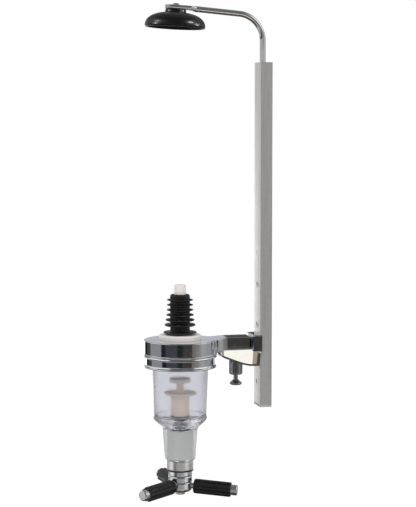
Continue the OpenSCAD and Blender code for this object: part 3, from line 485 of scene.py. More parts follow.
def grid_faces(rows, columns, wrap_rows, wrap_columns):
    """Quads of a grid of points, joined end to end where it wraps."""
    i = np.arange(rows if wrap_rows else rows - 1)
    j = np.arange(columns if wrap_columns else columns - 1)
    a, b = np.meshgrid(i, j, indexing="ij")
    c, d = (a + 1) % rows, (b + 1) % columns
    quads = np.stack([a * columns + b, a * columns + d, c * columns + d, c * columns + b], -1)
    return quads.reshape(-1, 4).tolist()


def revolve(profile, turns, radius_of=None):
    """Points (radius times cosine and sine of the angle, height) for every profile point and angle; radius_of
    may change the radius by angle and height."""
    p = np.asarray(profile, float)
    angle = np.arange(turns) * 2 * np.pi / turns
    radius = np.repeat(p[:, :1], turns, axis=1)
    height = np.repeat(p[:, 1:2], turns, axis=1)
    if radius_of is not None:
        radius = radius_of(radius, height, angle[None, :])
    points = np.stack([radius * np.cos(angle), radius * np.sin(angle), height], -1).reshape(-1, 3)
    return points, grid_faces(len(p), turns, True, True)


def placed(points, matrix):
    return np.asarray(points) @ np.array(matrix.to_3x3()).T + np.array(matrix.translation)


def shift(x, y, z):
    return Matrix.Translation((x, y, z))


OPTIC = shift(OPTIC_AXIS[0], OPTIC_AXIS[1], SHELF_Z - BAR_ORIGIN)
PIN = shift(PIN_AXIS[0], PIN_AXIS[1], -BAR_ORIGIN)


def turned(name, profile, place, body, slot, replaced, turns, radius_of=None, sharp=32):
    """A turned piece: a closed profile of radius and height, carried round the axis of its place."""
    points, faces = revolve(profile, turns, radius_of)
    return make_mesh(name, placed(points, place), faces, body, slot, replaced, sharp)


# Arm: rod and cup

ROD_R = 2.6
ROD_OUT = 6.2
BEND_R = 23.0
BEND_Z = 318.5
ROD_TILT = math.radians(5)
CUP_TILT = math.radians(3)
CUP_OUT = 83.2
CUP_R = 25.9
TIP_H = 3.4
TIP_HALF_W = 4.5
TIP_BACK = 12.0
TIP_FRONT = -5.0
BLEND_START = 18.0
ROD_FOOT_Z = 216.05
ARM_START_Y = ROD_OUT + BEND_R * (1 - math.cos(math.pi / 2 - ROD_TILT))
ARM_START_Z = BEND_Z + BEND_R * math.sin(math.pi / 2 - ROD_TILT)
ARM_L = (CUP_OUT - ARM_START_Y) / math.cos(ROD_TILT)
ARM_END = np.array([
    0, -ARM_START_Y - ARM_L * math.cos(ROD_TILT), ARM_START_Z + ARM_L * math.sin(ROD_TILT) - BAR_ORIGIN
])
CUP_AXES = Matrix.Rotation(-CUP_TILT, 4, "X")
CUP = Matrix.Translation(ARM_END) @ CUP_AXES @ shift(0, 0, -TIP_H / 2)


def cup_points(q):
    """Points given from the cup's axis, in the rod's frame, which starts at the bar's foot."""
    return placed(np.atleast_2d(q), CUP) + np.array([0, 0, BAR_ORIGIN])


def rod_path():
    """Centre line of the rod: straight up, a quarter bend of one radius, straight out, then the flat tip."""
    up = np.stack([np.zeros(6), np.full(6, -ROD_OUT), np.linspace(ROD_FOOT_Z, BEND_Z, 6)], -1)
    a = np.linspace(0, math.pi / 2 - ROD_TILT, 33)[1:]
    bend = np.stack([np.zeros(32), -ROD_OUT - BEND_R * (1 - np.cos(a)), BEND_Z + BEND_R * np.sin(a)], -1)
    along = np.linspace(0, 1, 12)[1:, None]
    start = bend[-1]
    flat_start = np.array([0.0, TIP_BACK, TIP_H / 2])
    direction = np.array([0, -math.cos(ROD_TILT), math.sin(ROD_TILT)])
    round_end = start + direction * (ARM_L - BLEND_START)
    straight = start + (round_end - start) * along
    blend = round_end + (cup_points(flat_start)[0] - round_end) * np.linspace(0, 1, 13)[1:, None]
    flat_l = TIP_BACK - TIP_FRONT
    nose = flat_l + TIP_HALF_W * np.sin(np.linspace(0, np.pi / 2, 15)[1:])
    reach = TIP_BACK - np.concatenate([np.linspace(0, 1, 9)[1:] * flat_l, nose])
    tip = cup_points(np.stack([np.zeros(len(reach)), reach, np.full(len(reach), TIP_H / 2)], -1))
    points = np.concatenate([up, bend, straight, blend, tip]) - np.array([0, 0, BAR_ORIGIN])
    flat = np.concatenate([np.zeros(6 + 32 + 11), np.linspace(0, 1, 13)[1:], np.ones(len(tip))])
    past = np.clip(TIP_FRONT - reach, 0, TIP_HALF_W)
    nose_half = np.sqrt(np.maximum(TIP_HALF_W ** 2 - past ** 2, 0.01))
    half = np.concatenate([np.full(len(points) - len(tip), TIP_HALF_W), nose_half])
    return points, flat, half


def build_rod():
    """Section |x/a|^n + |y/b|^n = 1 carried along the path, from a circle to a flat bar, with closed ends."""
    points, flat, half = rod_path()
    ease = flat * flat * (3 - 2 * flat)
    a = ROD_R + (half - ROD_R) * ease
    b = ROD_R + (TIP_H / 2 - ROD_R) * ease
    n = 2 + 6 * ease
    tangent = np.gradient(points, axis=0)
    tangent /= np.linalg.norm(tangent, axis=1)[:, None]
    side = np.repeat(np.array([[1.0, 0, 0]]), len(points), axis=0)
    over = np.cross(side, tangent)
    over /= np.linalg.norm(over, axis=1)[:, None]
    t = np.arange(48) * 2 * np.pi / 48
    c, s = np.cos(t), np.sin(t)
    power = (2 / n)[:, None]
    x = a[:, None] * np.sign(c) * np.abs(c) ** power
    y = b[:, None] * np.sign(s) * np.abs(s) ** power
    rows = points[:, None] + side[:, None] * x[..., None] + over[:, None] * y[..., None]
    ends = np.repeat(points[[0, -1]][:, None], rows.shape[1], axis=1)
    rows = np.concatenate([ends[:1], rows, ends[1:]])
    faces = grid_faces(len(rows), 48, False, True)
    make_mesh("support_rod_swept", rows.reshape(-1, 3), faces, "arm", "rod_chrome", ["support_rod"], 40)


build_rod()


def dome(r, h, top, curve, steps):
    """Half profile of the cup: radius r sin^(2/c), height h (1 - cos^(2/c)) below the top."""
    a = np.linspace(0, np.pi / 2, steps)
    return np.stack([r * np.sin(a) ** (2 / curve), top - h * (1 - np.cos(a) ** (2 / curve))], -1)


def build_cup():
    """Dome shell with a raised boss, a lip that tucks in under its widest line, and a hole for its screw."""
    widest = -14.9
    outer = dome(CUP_R, 12.5, -2.4, 2.35, 70)
    inner = dome(CUP_R - 2.2, 11.2, -4.6, 2.35, 40)[::-1]
    outer = outer[outer[:, 0] > 9.8]
    inner = inner[inner[:, 0] > 4.9]
    boss = rounded([
        (1.85, -0.9), (3.4, -0.9, 0.3), (4.3, 0, 0.3), (8.3, 0, 1.2), (9.0, -1.0, 0.8),
        (9.0, outer[0][1] + 0.1, 0.5), tuple(outer[1]),
    ], 0.3, 4, False)
    lip = rounded([
        (CUP_R, widest + 0.2), (CUP_R - 0.1, widest - 0.4, 0.3), (CUP_R - 0.7, widest - 1.05, 0.4),
        (CUP_R - 2.1, widest - 1.05, 0.3), (CUP_R - 2.2, widest - 0.9),
    ], 0.5, 9, False)
    profile = np.concatenate([boss, outer[2:-2], lip, inner[1:], [(4.55, -4.65), (1.85, -4.6)]])
    turned("bottle_cup_shell", profile, CUP, "arm", "cup_plastic", ["bottle_cup"], 360, sharp=50)


build_cup()

turned("cup_screw_head", rounded([
    (0, -8.8), (1.75, -8.8), (1.75, 3.4, 0.1), (3.0, 3.4, 0.1), (3.0, 4.2, 0.3), (2.2, 4.9, 0.6), (0, 5.1),
], 0.2, 3), CUP, "arm", "plain_steel", ["cup_screw"], 64)


# Measure: ring, collar, chamber, stem and stopper

RING_R = 31.5
STEM_HOLE_R = 8.1
BEAD_PROFILE = (
    (-2.75, 0.45), (-3.2, 0.62), (-3.9, 0.55), (-4.3, 0.2), (-4.6, 0.2), (-5.0, 0.5), (-5.6, 0.62),
    (-5.95, 0.4), (-6.1, 0.0),
)
RING_INSIDE = (
    (28.15, -6.1), (28.05, -6.2), (28.05, -9.5), (24.4, -9.5), (24.4, 4.2), (23.6, 5.0),
    (STEM_HOLE_R, 5.0), (STEM_HOLE_R, 8.8),
)


def ring_outline(count=360):
    """Plan of ring and tongue: a circle, a fillet each side, and the tongue's straight sides, by even angle
    steps on the circle and fine steps elsewhere."""
    half, f, end = 8.0, 18.0, 62.3
    reach = math.sqrt((RING_R + f) ** 2 - (half + f) ** 2)
    touch = math.atan2(half + f, reach)
    ring = np.linspace(touch, 2 * np.pi - touch, count)
    circle = np.stack([RING_R * np.sin(ring), RING_R * np.cos(ring)], -1)
    from_angle = math.atan2(-reach, -(half + f))
    sweep = np.linspace(from_angle, -np.pi, 25)
    fillet = np.stack([half + f + f * np.cos(sweep), reach + f * np.sin(sweep)], -1)
    side = np.stack([np.full(20, half), np.linspace(reach, end - 0.6, 21)[1:]], -1)
    corner_a = np.linspace(0, np.pi / 2, 5)
    corner = np.stack([half - 0.6 + 0.6 * np.cos(corner_a), end - 0.6 + 0.6 * np.sin(corner_a)], -1)[1:]
    face = np.stack([np.linspace(half - 0.6, -(half - 0.6), 13)[1:-1], np.full(11, end)], -1)
    right = np.concatenate([fillet[1:], side, corner])
    left = right[::-1] * np.array([-1, 1])
    return np.concatenate([right, face, left, circle[::-1][1:-1]])


def smooth(x, a, b):
    t = np.clip((x - a) / (b - a), 0, 1)
    return t * t * (3 - 2 * t)


def build_ring():
    """Every row is the plan drawn in or out by an offset at one height; the inner rows are circles at the
    same angles. Heights rise along the tongue, and its underside runs back to the ring's wall."""
    plan = ring_outline()
    angle = np.arctan2(plan[:, 0], plan[:, 1])
    radius = np.linalg.norm(plan, axis=1)
    on_tongue = smooth(plan[:, 1], 27.0, 33.0) * (np.abs(plan[:, 0]) < 16.4)
    tangent = np.roll(plan, -1, axis=0) - np.roll(plan, 1, axis=0)
    tangent /= np.linalg.norm(tangent, axis=1)[:, None]
    normal = np.stack([-tangent[:, 1], tangent[:, 0]], -1)
    normal *= np.sign(np.sum(normal * plan, axis=1))[:, None]
    top = 9.0 + 1.4 * smooth(plan[:, 1], 27.0, 40.0) * (np.abs(plan[:, 0]) < 16.4)
    low = -2.5 + 2.5 * smooth(plan[:, 1], 28.0, 43.0) * (np.abs(plan[:, 0]) < 16.4)
    around = np.stack([np.sin(angle), np.cos(angle)], -1)

    def row(offset, z):
        p = plan + normal * np.broadcast_to(offset, radius.shape)[:, None]
        return np.column_stack([p, np.broadcast_to(z, radius.shape)])

    def circle(r, z):
        p = around * np.broadcast_to(r, radius.shape)[:, None]
        return np.column_stack([p, np.broadcast_to(z, radius.shape)])

    wall = np.minimum(radius, RING_R)
    rows = []
    for share in np.linspace(0, 1, 40)[:-1]:
        p = plan * ((STEM_HOLE_R + (radius - 1.3 - STEM_HOLE_R) * share) / radius)[:, None]
        lift = 9.0 + 1.4 * smooth(p[:, 1], 27.0, 40.0)
        rows.append(np.column_stack([p, lift]))
    for a in np.linspace(0, np.pi / 2, 6):
        rows.append(row(-0.8 * (1 - math.sin(a)), top - 0.8 * (1 - math.cos(a))))
    rows.append(row(0, (top + low) / 2))
    rows.append(row(0, low + 0.5))
    for a in np.linspace(0, np.pi / 2, 4)[1:]:
        rows.append(row(-0.5 * on_tongue * (1 - math.cos(a)), low + 0.5 * (1 - math.sin(a))))
    rows.append(circle(np.where(on_tongue > 0, wall, RING_R), np.minimum(low, -0.02)))
    rows.append(circle(RING_R, -2.5))
    for z, out in BEAD_PROFILE:
        rows.append(circle(RING_R + out, z))
    for r, z in RING_INSIDE:
        rows.append(circle(r, z))
    points = np.concatenate(rows)
    faces = grid_faces(len(rows), len(plan), True, True)
    make_mesh("clamp_ring_casting", placed(points, OPTIC), faces, "stand", "cast_chrome", ["clamp_ring"], 30)


def build_tail():
    """The lower tail that runs on into the bracket's pocket: a plain bar with eased edges."""
    section = rounded([(-8, 0.0), (8, 0.0), (8, 9.0), (-8, 9.0)], 0.6, 3)
    ys = np.array([60.5, 67.0, 67.5])
    ease = np.array([0.0, 0.0, 0.5])
    rows = [np.column_stack([
        section[:, 0] * (8 - e) / 8, np.full(len(section), y), (section[:, 1] - 4.5) * (4.5 - e) / 4.5 + 4.5,
    ]) for y, e in zip(ys, ease)]
    flat = [np.column_stack([r[:, 0] * 0, r[:, 1], r[:, 2] * 0 + 4.5]) for r in (rows[0], rows[-1])]
    rows = [flat[0]] + rows + [flat[1]]
    faces = grid_faces(len(rows), len(section), False, True)
    make_mesh("clamp_ring_tail", placed(np.concatenate(rows), OPTIC), faces, "stand", "cast_chrome", [], 30)


build_ring()
build_tail()

turned("threaded_collar_turned", rounded([
    (28.15, -6.5, 0.2), (29.9, -6.5, 0.35), (29.95, -7.6, 0.4), (30.1, -12.2, 1.2), (30.6, -13.2, 0.6),
    (31.35, -13.75, 0.35), (31.55, -14.25, 0.3), (31.45, -14.8, 0.3), (30.9, -15.0, 0.2), (24.6, -15.0, 0.3),
    (24.6, -13.25, 0.1), (28.15, -13.25, 0.1),
], 0.3, 4), OPTIC, "stand", "cast_chrome", ["threaded_collar"], 180)

turned("measuring_chamber_shell", rounded([
    (22.4, -11.0, 0.3), (27.7, -11.0, 0.3), (27.7, -13.2, 0.3), (24.4, -13.2, 0.4), (24.4, -15.4, 2.0),
    (22.65, -57.6, 1.5), (23.3, -58.4, 0.5), (23.35, -59.6, 0.6), (22.9, -60.6, 1.4), (20.6, -63.2, 1.2),
    (15.9, -67.4, 2.6), (15.2, -69.6, 2.0), (13.25, -95.3, 0.6), (11.95, -96.7, 0.3), (11.55, -96.7, 0.15),
    (11.55, -67.3, 0.1), (6.0, -67.3, 0.2), (6.0, -60.9, 1.2), (8.2, -59.6, 0.8), (17.6, -59.5, 0.6),
    (20.7, -57.0, 3.0), (21.2, -50.0, 2.0),
], 0.4, 5), OPTIC, "stand", "clear_plastic", ["measuring_chamber"], 160)

turned("inlet_stem_moulded", rounded([
    (3.5, 56.6, 0.3), (5.0, 56.6, 0.5), (5.2, 55.2, 0.3), (5.2, 13.4, 0.2), (17.4, 13.4, 0.9),
    (18.5, 12.4, 0.9), (18.5, 9.0, 0.3), (8.0, 9.0, 0.1), (8.0, -17.7, 0.6),
    (6.0, -17.7, 0.3), (3.5, -15.2, 0.3),
], 0.3, 4), OPTIC, "stand", "white_plastic", ["inlet_stem"], 128)


def stopper_profile():
    """Body with ribs that grow towards the foot in radius and thickness, each a soft lip over a hollow."""
    foot, height, count, pitch = 13.4, 35.0, 6, 4.35
    top = foot + height
    pts = [(5.25, foot, 0.1), (5.25, top, 0.2), (7.6, top, 0.9), (8.65, top - 1.2, 0.8)]
    for i in range(count):
        z = top - 4.9 - i * pitch
        share = (i / count) ** 2.5
        r = 11.3 + 3.3 * share
        t = 0.9 + 0.9 * share
        pts += [
            (8.65, z + 0.95, 0.5), (r - 0.9, z + t * 0.62, 0.5), (r, z + t * 0.25, 0.35),
            (r, z - t * 0.35, 0.35), (r - 0.8, z - t * 0.62, 0.5), (8.65, z - 0.9 - t / 4, 0.6),
        ]
    pts += [
        (8.65, foot + 2.4, 0.9), (12.2, foot + 2.2, 0.8), (14.2, foot + 2.4, 0.4), (14.6, foot + 1.6, 0.4),
        (11.0, foot + 0.3, 0.6), (9.6, foot, 0.2),
    ]
    return rounded(pts, 0.3, 4)


turned("bottle_stopper_ribbed", stopper_profile(), OPTIC, "stand", "black_rubber", ["bottle_stopper"], 128,
       sharp=60)

turned("displacer_body", rounded([
    (2.55, -58.0, 0.2), (8.0, -58.0, 0.8), (8.0, -42.3, 2.0), (9.6, -38.9, 1.2), (14.0, -38.9, 0.5),
    (14.0, -36.9, 0.6), (3.2, -36.9, 0.8), (3.2, -28.1, 0.4), (2.55, -28.1, 0.1),
], 0.3, 4), OPTIC, "spindle", "cream_plastic", ["displacer"], 96)

turned("valve_housing_shell", rounded([
    (6.0, -68.6, 0.1), (11.5, -68.6, 0.7), (11.5, -104.4, 0.3), (11.1, -105.0, 0.3), (10.75, -105.0, 0.1),
    (10.75, -72.6, 0.1), (6.0, -72.6, 0.1),
], 0.3, 4), OPTIC, "stand", "satin_metal", ["valve_housing"], 128)

turned("housing_washer_turned", rounded([
    (6.0, -68.6, 0.1), (8.4, -68.6, 0.2), (8.4, -67.45, 0.1), (6.0, -67.45, 0.1),
], 0.1, 3), OPTIC, "stand", "black_rubber", ["housing_washer"], 96)

turned("housing_washer_face", rounded([
    (6.05, -67.45, 0.02), (8.35, -67.45, 0.02), (8.35, -67.32, 0.02), (6.05, -67.32, 0.02),
], 0.02, 1), OPTIC, "stand", "white_plastic", [], 96)

# Painted shadow: a thin black ring that stands for the shadow gap between the housing's foot and the hub.
turned("housing_shadow_gap_ring", rounded([
    (10.55, -104.9, 0.1), (11.45, -104.9, 0.1), (11.45, -106.0, 0.2), (10.55, -106.2, 0.2),
], 0.2, 3), OPTIC, "stand", "black_rubber", [], 128)


# Hub with its levers and grips

LEVER_Z = -118.6
LEVER_DROOPS = (1.5, 4.2, 0.5)


def hub_radius(radius, height, angle):
    """Two fine turned grooves: the outer wall draws in by a bell curve at each groove's height."""
    groove = np.exp(-((height + 110.5) / 0.4) ** 2) + np.exp(-((height + 115.9) / 0.4) ** 2)
    return radius - 0.4 * groove * (radius > 9.5)


def hub_profile():
    outer = np.column_stack([np.full(90, 10.45), np.linspace(-97.8, -120.4, 90)])
    head = rounded([
        (8.25, -97.9), (8.25, -97.4, 0.2), (10.45, -97.4, 0.4), (10.45, -97.8),
    ], 0.2, 3, False)[1:-1]
    lower = rounded([
        (10.45, -120.4), (10.45, -122.4, 3.0), (8.2, -124.4, 1.6), (4.9, -124.5, 0.5), (4.3, -125.1, 0.4),
        (4.3, -126.7, 0.3), (3.9, -127.0, 0.2), (3.3, -127.0, 0.1), (3.2, -126.6, 0.1), (3.2, -116.1, 0.3),
        (8.25, -111.6, 0.4), (8.25, -97.9),
    ], 0.4, 5, False)
    return np.concatenate([head, outer, lower[1:-1]])


turned("spout_hub_turned", hub_profile(), OPTIC, "spindle", "hub_chrome", ["spout_hub"], 144, hub_radius,
       50)


def lever_place(i):
    """Frame along a lever: turned a third of a circle each, hanging a little, its Z running outwards."""
    turn = math.radians(-53 + 120 * i)
    hang = math.radians(LEVER_DROOPS[i])
    along = Vector((math.cos(turn) * math.cos(hang), math.sin(turn) * math.cos(hang), -math.sin(hang)))
    side = Vector((-math.sin(turn), math.cos(turn), 0))
    up = side.cross(along)
    axes = Matrix((up, side, along)).transposed().to_4x4()
    return OPTIC @ shift(0, 0, LEVER_Z) @ axes


def grip_radius(radius, height, angle):
    """Ten lengthwise flutes that fade at the inner end and run out through the outer one."""
    fade = smooth(height, 12.4, 15.0)
    flute = 0.5 + 0.5 * np.cos(10 * angle)
    return radius - (radius > 5.5) * 0.75 * fade * flute ** 1.3


for number in range(3):
    where = lever_place(number)
    turned(f"lever_rod_{number + 1}_turned", rounded([
        (0, 6.05), (2.5, 6.05, 0.2), (2.5, 12.0, 0.3), (4.6, 12.0, 0.4), (4.6, 49.7, 0.3), (3.9, 50.5, 0.5),
        (0, 50.5),
    ], 0.2, 4), where, "spindle", "lever_metal", [f"lever_rod_{number + 1}"], 64)
    body = np.linspace(13.5, 43.4, 60)
    outer = np.column_stack([np.full(60, 6.4), body])
    inner_end = rounded([(4.7, 12.05), (5.3, 12.05, 0.3), (6.4, 13.0, 0.9), (6.4, 13.5)], 0.5, 4, False)
    outer_end = rounded([(6.4, 43.4), (6.4, 44.3, 0.5), (5.9, 44.9, 0.4), (4.65, 44.9)], 0.4, 4, False)
    profile = np.concatenate([inner_end[:-1], outer, outer_end[1:]])
    turned(f"lever_grip_{number + 1}_fluted", profile, where, "spindle", "black_rubber",
           [f"lever_grip_{number + 1}"], 144, grip_radius, 50)


# Lock pin, housing and knob

turned("pin_housing_turned", rounded([
    (2.05, 28.6, 0.2), (5.2, 28.6, 0.5), (6.0, 29.5, 0.5), (6.0, 36.0, 0.2), (6.0, 43.0, 0.1),
    (4.5, 43.0, 0.1), (4.5, 30.4, 0.1), (2.05, 30.4, 0.1),
], 0.3, 4), PIN, "stand", "pin_steel", ["pin_housing"], 96)

turned("pin_knob_domed", rounded([
    (0, 19.4), (4.6, 19.4, 0.5), (5.5, 20.3, 0.6), (5.3, 21.4, 0.6), (3.6, 22.6, 1.0), (2.7, 23.8, 0.6),
    (2.05, 23.8, 0.1), (2.05, 20.75, 0.1), (0, 20.75),
], 0.3, 4), PIN, "pull_pin", "pin_steel", ["pin_knob"], 96)


# Bar and end cap: merged copies of their solids with eased edges

def eased_copy(node, body, slot, width, name):
    """Copy of a solid's mesh, its doubles merged and flat faces joined, with bevelled edges."""
    mesh = nodes[node].data.copy()
    bm = bmesh.new()
    bm.from_mesh(mesh)
    bmesh.ops.remove_doubles(bm, verts=bm.verts, dist=1e-6)
    bmesh.ops.dissolve_limit(bm, angle_limit=math.radians(0.5), verts=bm.verts, edges=bm.edges)
    bmesh.ops.recalc_face_normals(bm, faces=bm.faces)
    bm.to_mesh(mesh)
    bm.free()
    mesh.materials.clear()
    mesh.materials.append(FINISHES[slot])
    piece = bpy.data.objects.new(name, mesh)
    scene.collection.objects.link(piece)
    bevel = piece.modifiers.new("Eased edges", "BEVEL")
    bevel.width = width * MM
    bevel.segments = 3
    bevel.limit_method = "ANGLE"
    bevel.angle_limit = math.radians(30)
    bevel.harden_normals = True
    bevel.use_clamp_overlap = True
    crease(mesh, 45)
    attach(piece, body)
    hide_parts(node)
    return piece


eased_copy("wall_bar", "stand", "bar_aluminium", 0.45, "wall_bar_eased")
eased_copy("bar_end_cap", "stand", "cap_plastic", 0.2, "bar_end_cap_eased")


# Bracket: a lofted shelf and keel that flares into the block astride the bar

SHELF_L = 36.3
KEEL_H = 16.4
KEEL_SHARES = (
    (0, 1), (0.25, 0.97), (0.42, 0.88), (0.60, 0.73), (0.75, 0.60), (0.88, 0.49), (0.96, 0.38), (1, 0.25),
)


def cutter(points, faces):
    mesh = bpy.data.meshes.new("cutter")
    mesh.from_pydata(np.asarray(points, float) * MM, [], faces)
    piece = bpy.data.objects.new("cutter", mesh)
    scene.collection.objects.link(piece)
    return piece


def rod_cutter(r, foot, top, place):
    points, faces = revolve([(0, foot), (r, foot), (r, top), (0, top)], 64)
    piece = cutter(placed(points, place), faces)
    close_up(piece.data)
    return piece


def box_cutter(low, high):
    corners = [(x, y, z) for x in (low[0], high[0]) for y in (low[1], high[1]) for z in (low[2], high[2])]
    sides = [(0, 1, 3, 2), (4, 6, 7, 5), (0, 4, 5, 1), (2, 3, 7, 6), (0, 2, 6, 4), (1, 5, 7, 3)]
    return cutter(corners, sides)


def carve(piece, cutters, sharp):
    """Cuts bores and pockets out of a closed piece, then shades it again."""
    piece.modifiers.clear()
    for tool in cutters:
        cut = piece.modifiers.new("Cut", "BOOLEAN")
        cut.operation = "DIFFERENCE"
        cut.solver = "EXACT"
        cut.object = tool
    bpy.context.view_layer.update()
    shaped = piece.evaluated_get(bpy.context.evaluated_depsgraph_get())
    mesh = bpy.data.meshes.new_from_object(shaped)
    piece.modifiers.clear()
    piece.data = mesh
    for tool in cutters:
        bpy.data.objects.remove(tool)
    crease(mesh, sharp)
    weigh_normals(piece)


def on_bracket(rows):
    """Rows of (side, distance from the bar, height over the shelf) put in place."""
    p = np.concatenate(rows)
    return np.column_stack([p[:, 0], BAR_FRONT_Y - p[:, 1], p[:, 2] + SHELF_Z - BAR_ORIGIN])


def build_shelf():
    """Sections across the shelf, from its nose to the bar. Top half width: 4.5 plus a 5 mm corner arc, flared
    by an eased step near the bar. Depth: the keel's shares joined by lines and averaged. Its sides lean in at
    one slope."""
    nose = 5 * (1 - np.cos(np.linspace(0, np.pi / 2, 12)))
    d = SHELF_L - np.concatenate([nose, np.linspace(5, SHELF_L - 0.05, 64)[1:]])
    back = np.clip(5 - (SHELF_L - d), 0, 5)
    flat = 4.5 + np.sqrt(25 - back ** 2)
    flare = smooth(-d, -8.0, 0.0)
    top_half = flat + 2.5 * flare
    share, depth_share = np.array(KEEL_SHARES).T
    spread = np.linspace(-0.05, 0.05, 9)[:, None]
    depth = KEEL_H * np.interp(np.clip(d / SHELF_L + spread, 0, 1), share, depth_share).mean(axis=0)
    foot_half = flat - 0.17 * depth + 1.0 * flare
    top = -2.6 * np.clip((d - 32.7) / 3.6, 0, 1) ** 1.4
    wall = np.minimum(0.7 + 2.6 * smooth(-d, -6.5, 0.0), 0.35 * (depth + top))
    rows = []
    for i in range(len(d)):
        a, b, t, h, v = top_half[i], foot_half[i], top[i], depth[i], wall[i]
        half = [(a, t, 0.7), (a, t - v, 0.9), (b, -h, 2.4)]
        section = rounded(half + [(-x, z, r) for x, z, r in half[::-1]], 0.5, 6, True, True)
        rows.append(np.column_stack([section[:, 0], np.full(len(section), d[i]), section[:, 1]]))
    ends = [
        np.column_stack([r[:, 0] * 0, r[:, 1], r[:, 2] * 0 + r[:, 2].mean()]) for r in (rows[0], rows[-1])
    ]
    rows = [ends[0]] + rows + [ends[1]]
    faces = grid_faces(len(rows), len(rows[0]), False, True)
    piece = make_mesh("bracket_shelf", on_bracket(rows), faces, "stand", "cast_chrome", ["bracket"], 32)
    carve(piece, [
        rod_cutter(2.6, 20, 60, PIN),
        rod_cutter(6.06, 20, 43.02, PIN),
    ], 32)


def build_block():
    """Plan with rounded front corners carried up, its top edge drawn in by an arc, pocketed for the tail."""
    plan = rounded([(-12, -1.5, 0.4), (12, -1.5, 0.4), (12, 7, 2.6), (-12, 7, 2.6)], 0.5, 8)
    centre = np.array([0, 2.75])
    rows = []
    for inset, z in [(0, -2.2), (0, 4.0), (0, 10.8)] + [
        (1.2 * (1 - math.cos(a)), 10.8 + 1.2 * math.sin(a)) for a in np.linspace(0, np.pi / 2, 7)[1:]
    ]:
        size = (np.array([12, 4.25]) - inset) / np.array([12, 4.25])
        p = centre + (plan - centre) * size
        rows.append(np.column_stack([p, np.full(len(p), z)]))
    ends = [np.column_stack([np.full(len(plan), centre[0]), np.full(len(plan), centre[1]), r[:, 2]])
            for r in (rows[0], rows[-1])]
    rows = [ends[0]] + rows + [ends[1]]
    faces = grid_faces(len(rows), len(plan), False, True)
    piece = make_mesh("bracket_block", on_bracket(rows), faces, "stand", "cast_chrome", [], 32)
    shelf = SHELF_Z - BAR_ORIGIN
    carve(piece, [
        box_cutter((-8.2, -18.5, shelf - 0.02), (8.2, -12.0, shelf + 9.2)),
        box_cutter((-10.05, -10.52, shelf - 5), (10.05, 5.0, shelf + 20)),
    ], 32)


build_shelf()
build_block()


def front_of_bar(z):
    return shift(0, BAR_FRONT_Y, z - BAR_ORIGIN) @ Matrix.Rotation(math.pi / 2, 4, "X")


HOLE_HEIGHTS = (21.5, 72.0, 107.5)

# Painted highlight: white rings in the bar's front holes stand for the glint on each hole's rim.
for number, z in enumerate(HOLE_HEIGHTS):
    turned(f"hole_glint_ring_{number + 1}", rounded([
        (2.2, -0.4), (2.2, 0.40, 0.1), (2.75, 0.45, 0.15), (2.95, 0.1, 0.1), (2.95, -0.05),
    ], 0.05, 3), front_of_bar(z), "stand", "white_plastic", [], 48)


# The other nodes keep their solids and take their finishes

for node, obj in nodes.items():
    obj.data.materials.clear()
    obj.data.materials.append(FINISHES[SLOT_OF[node]])


# Studio: white surround and floor, soft lamps, and a room of pale and dark boards that only gloss sees

CAMERA_BEARING = -14.26
GLOSS_SHARE_THROUGH_PLASTIC = 0.6


def seen_direct(s):
    """First 1 for rays from the camera, also through clear plastic, then 1 for rays off gloss, and a share
    for those that leave through clear plastic; both are 0 for light that only falls on things."""
    path = s.node("ShaderNodeLightPath").outputs
    off_gloss = s.math("MULTIPLY", s.math("MINIMUM", path["Glossy Depth"], 1.0), GLOSS_SHARE_THROUGH_PLASTIC)
    through = path["Is Transmission Ray"]
    direct = s.math("MAXIMUM", path["Is Camera Ray"], s.math("SUBTRACT", through, off_gloss, True))
    return direct, s.math("MAXIMUM", path["Is Glossy Ray"], s.math("MULTIPLY", through, off_gloss))


def boards(s, bearing, stops, seam):
    """Boards round the object by bearing from the camera in degrees, right positive. Each stop is where a
    board starts, with soft seams between them, or the middle of a gradient's step where there is no seam."""
    ramp = s.node("ShaderNodeValToRGB", i0=s.range(bearing, -180.0, 180.0, 0.0, 1.0))
    elements = ramp.color_ramp.elements
    ramp.color_ramp.interpolation = "LINEAR"
    points = []
    for i, (start, tone) in enumerate(stops):
        rgb = tone if isinstance(tone, tuple) else (tone, tone, tone)
        if seam is None:
            points.append(((start + 180) / 360, rgb))
            continue
        last = i + 1 == len(stops)
        end = 180 if last else stops[i + 1][0]
        points.append(((start + 180 + (seam if i else 0)) / 360, rgb))
        points.append(((end + 180 - (0 if last else seam)) / 360, rgb))
    while len(elements) < len(points):
        elements.new(0.5)
    for element, (place, rgb) in zip(elements, points):
        element.position = place
        element.color = (*rgb, 1)
    return ramp.outputs["Color"]


# Walls of boards from the floor up: elevation and softness of the foot, softness of the seams, boards

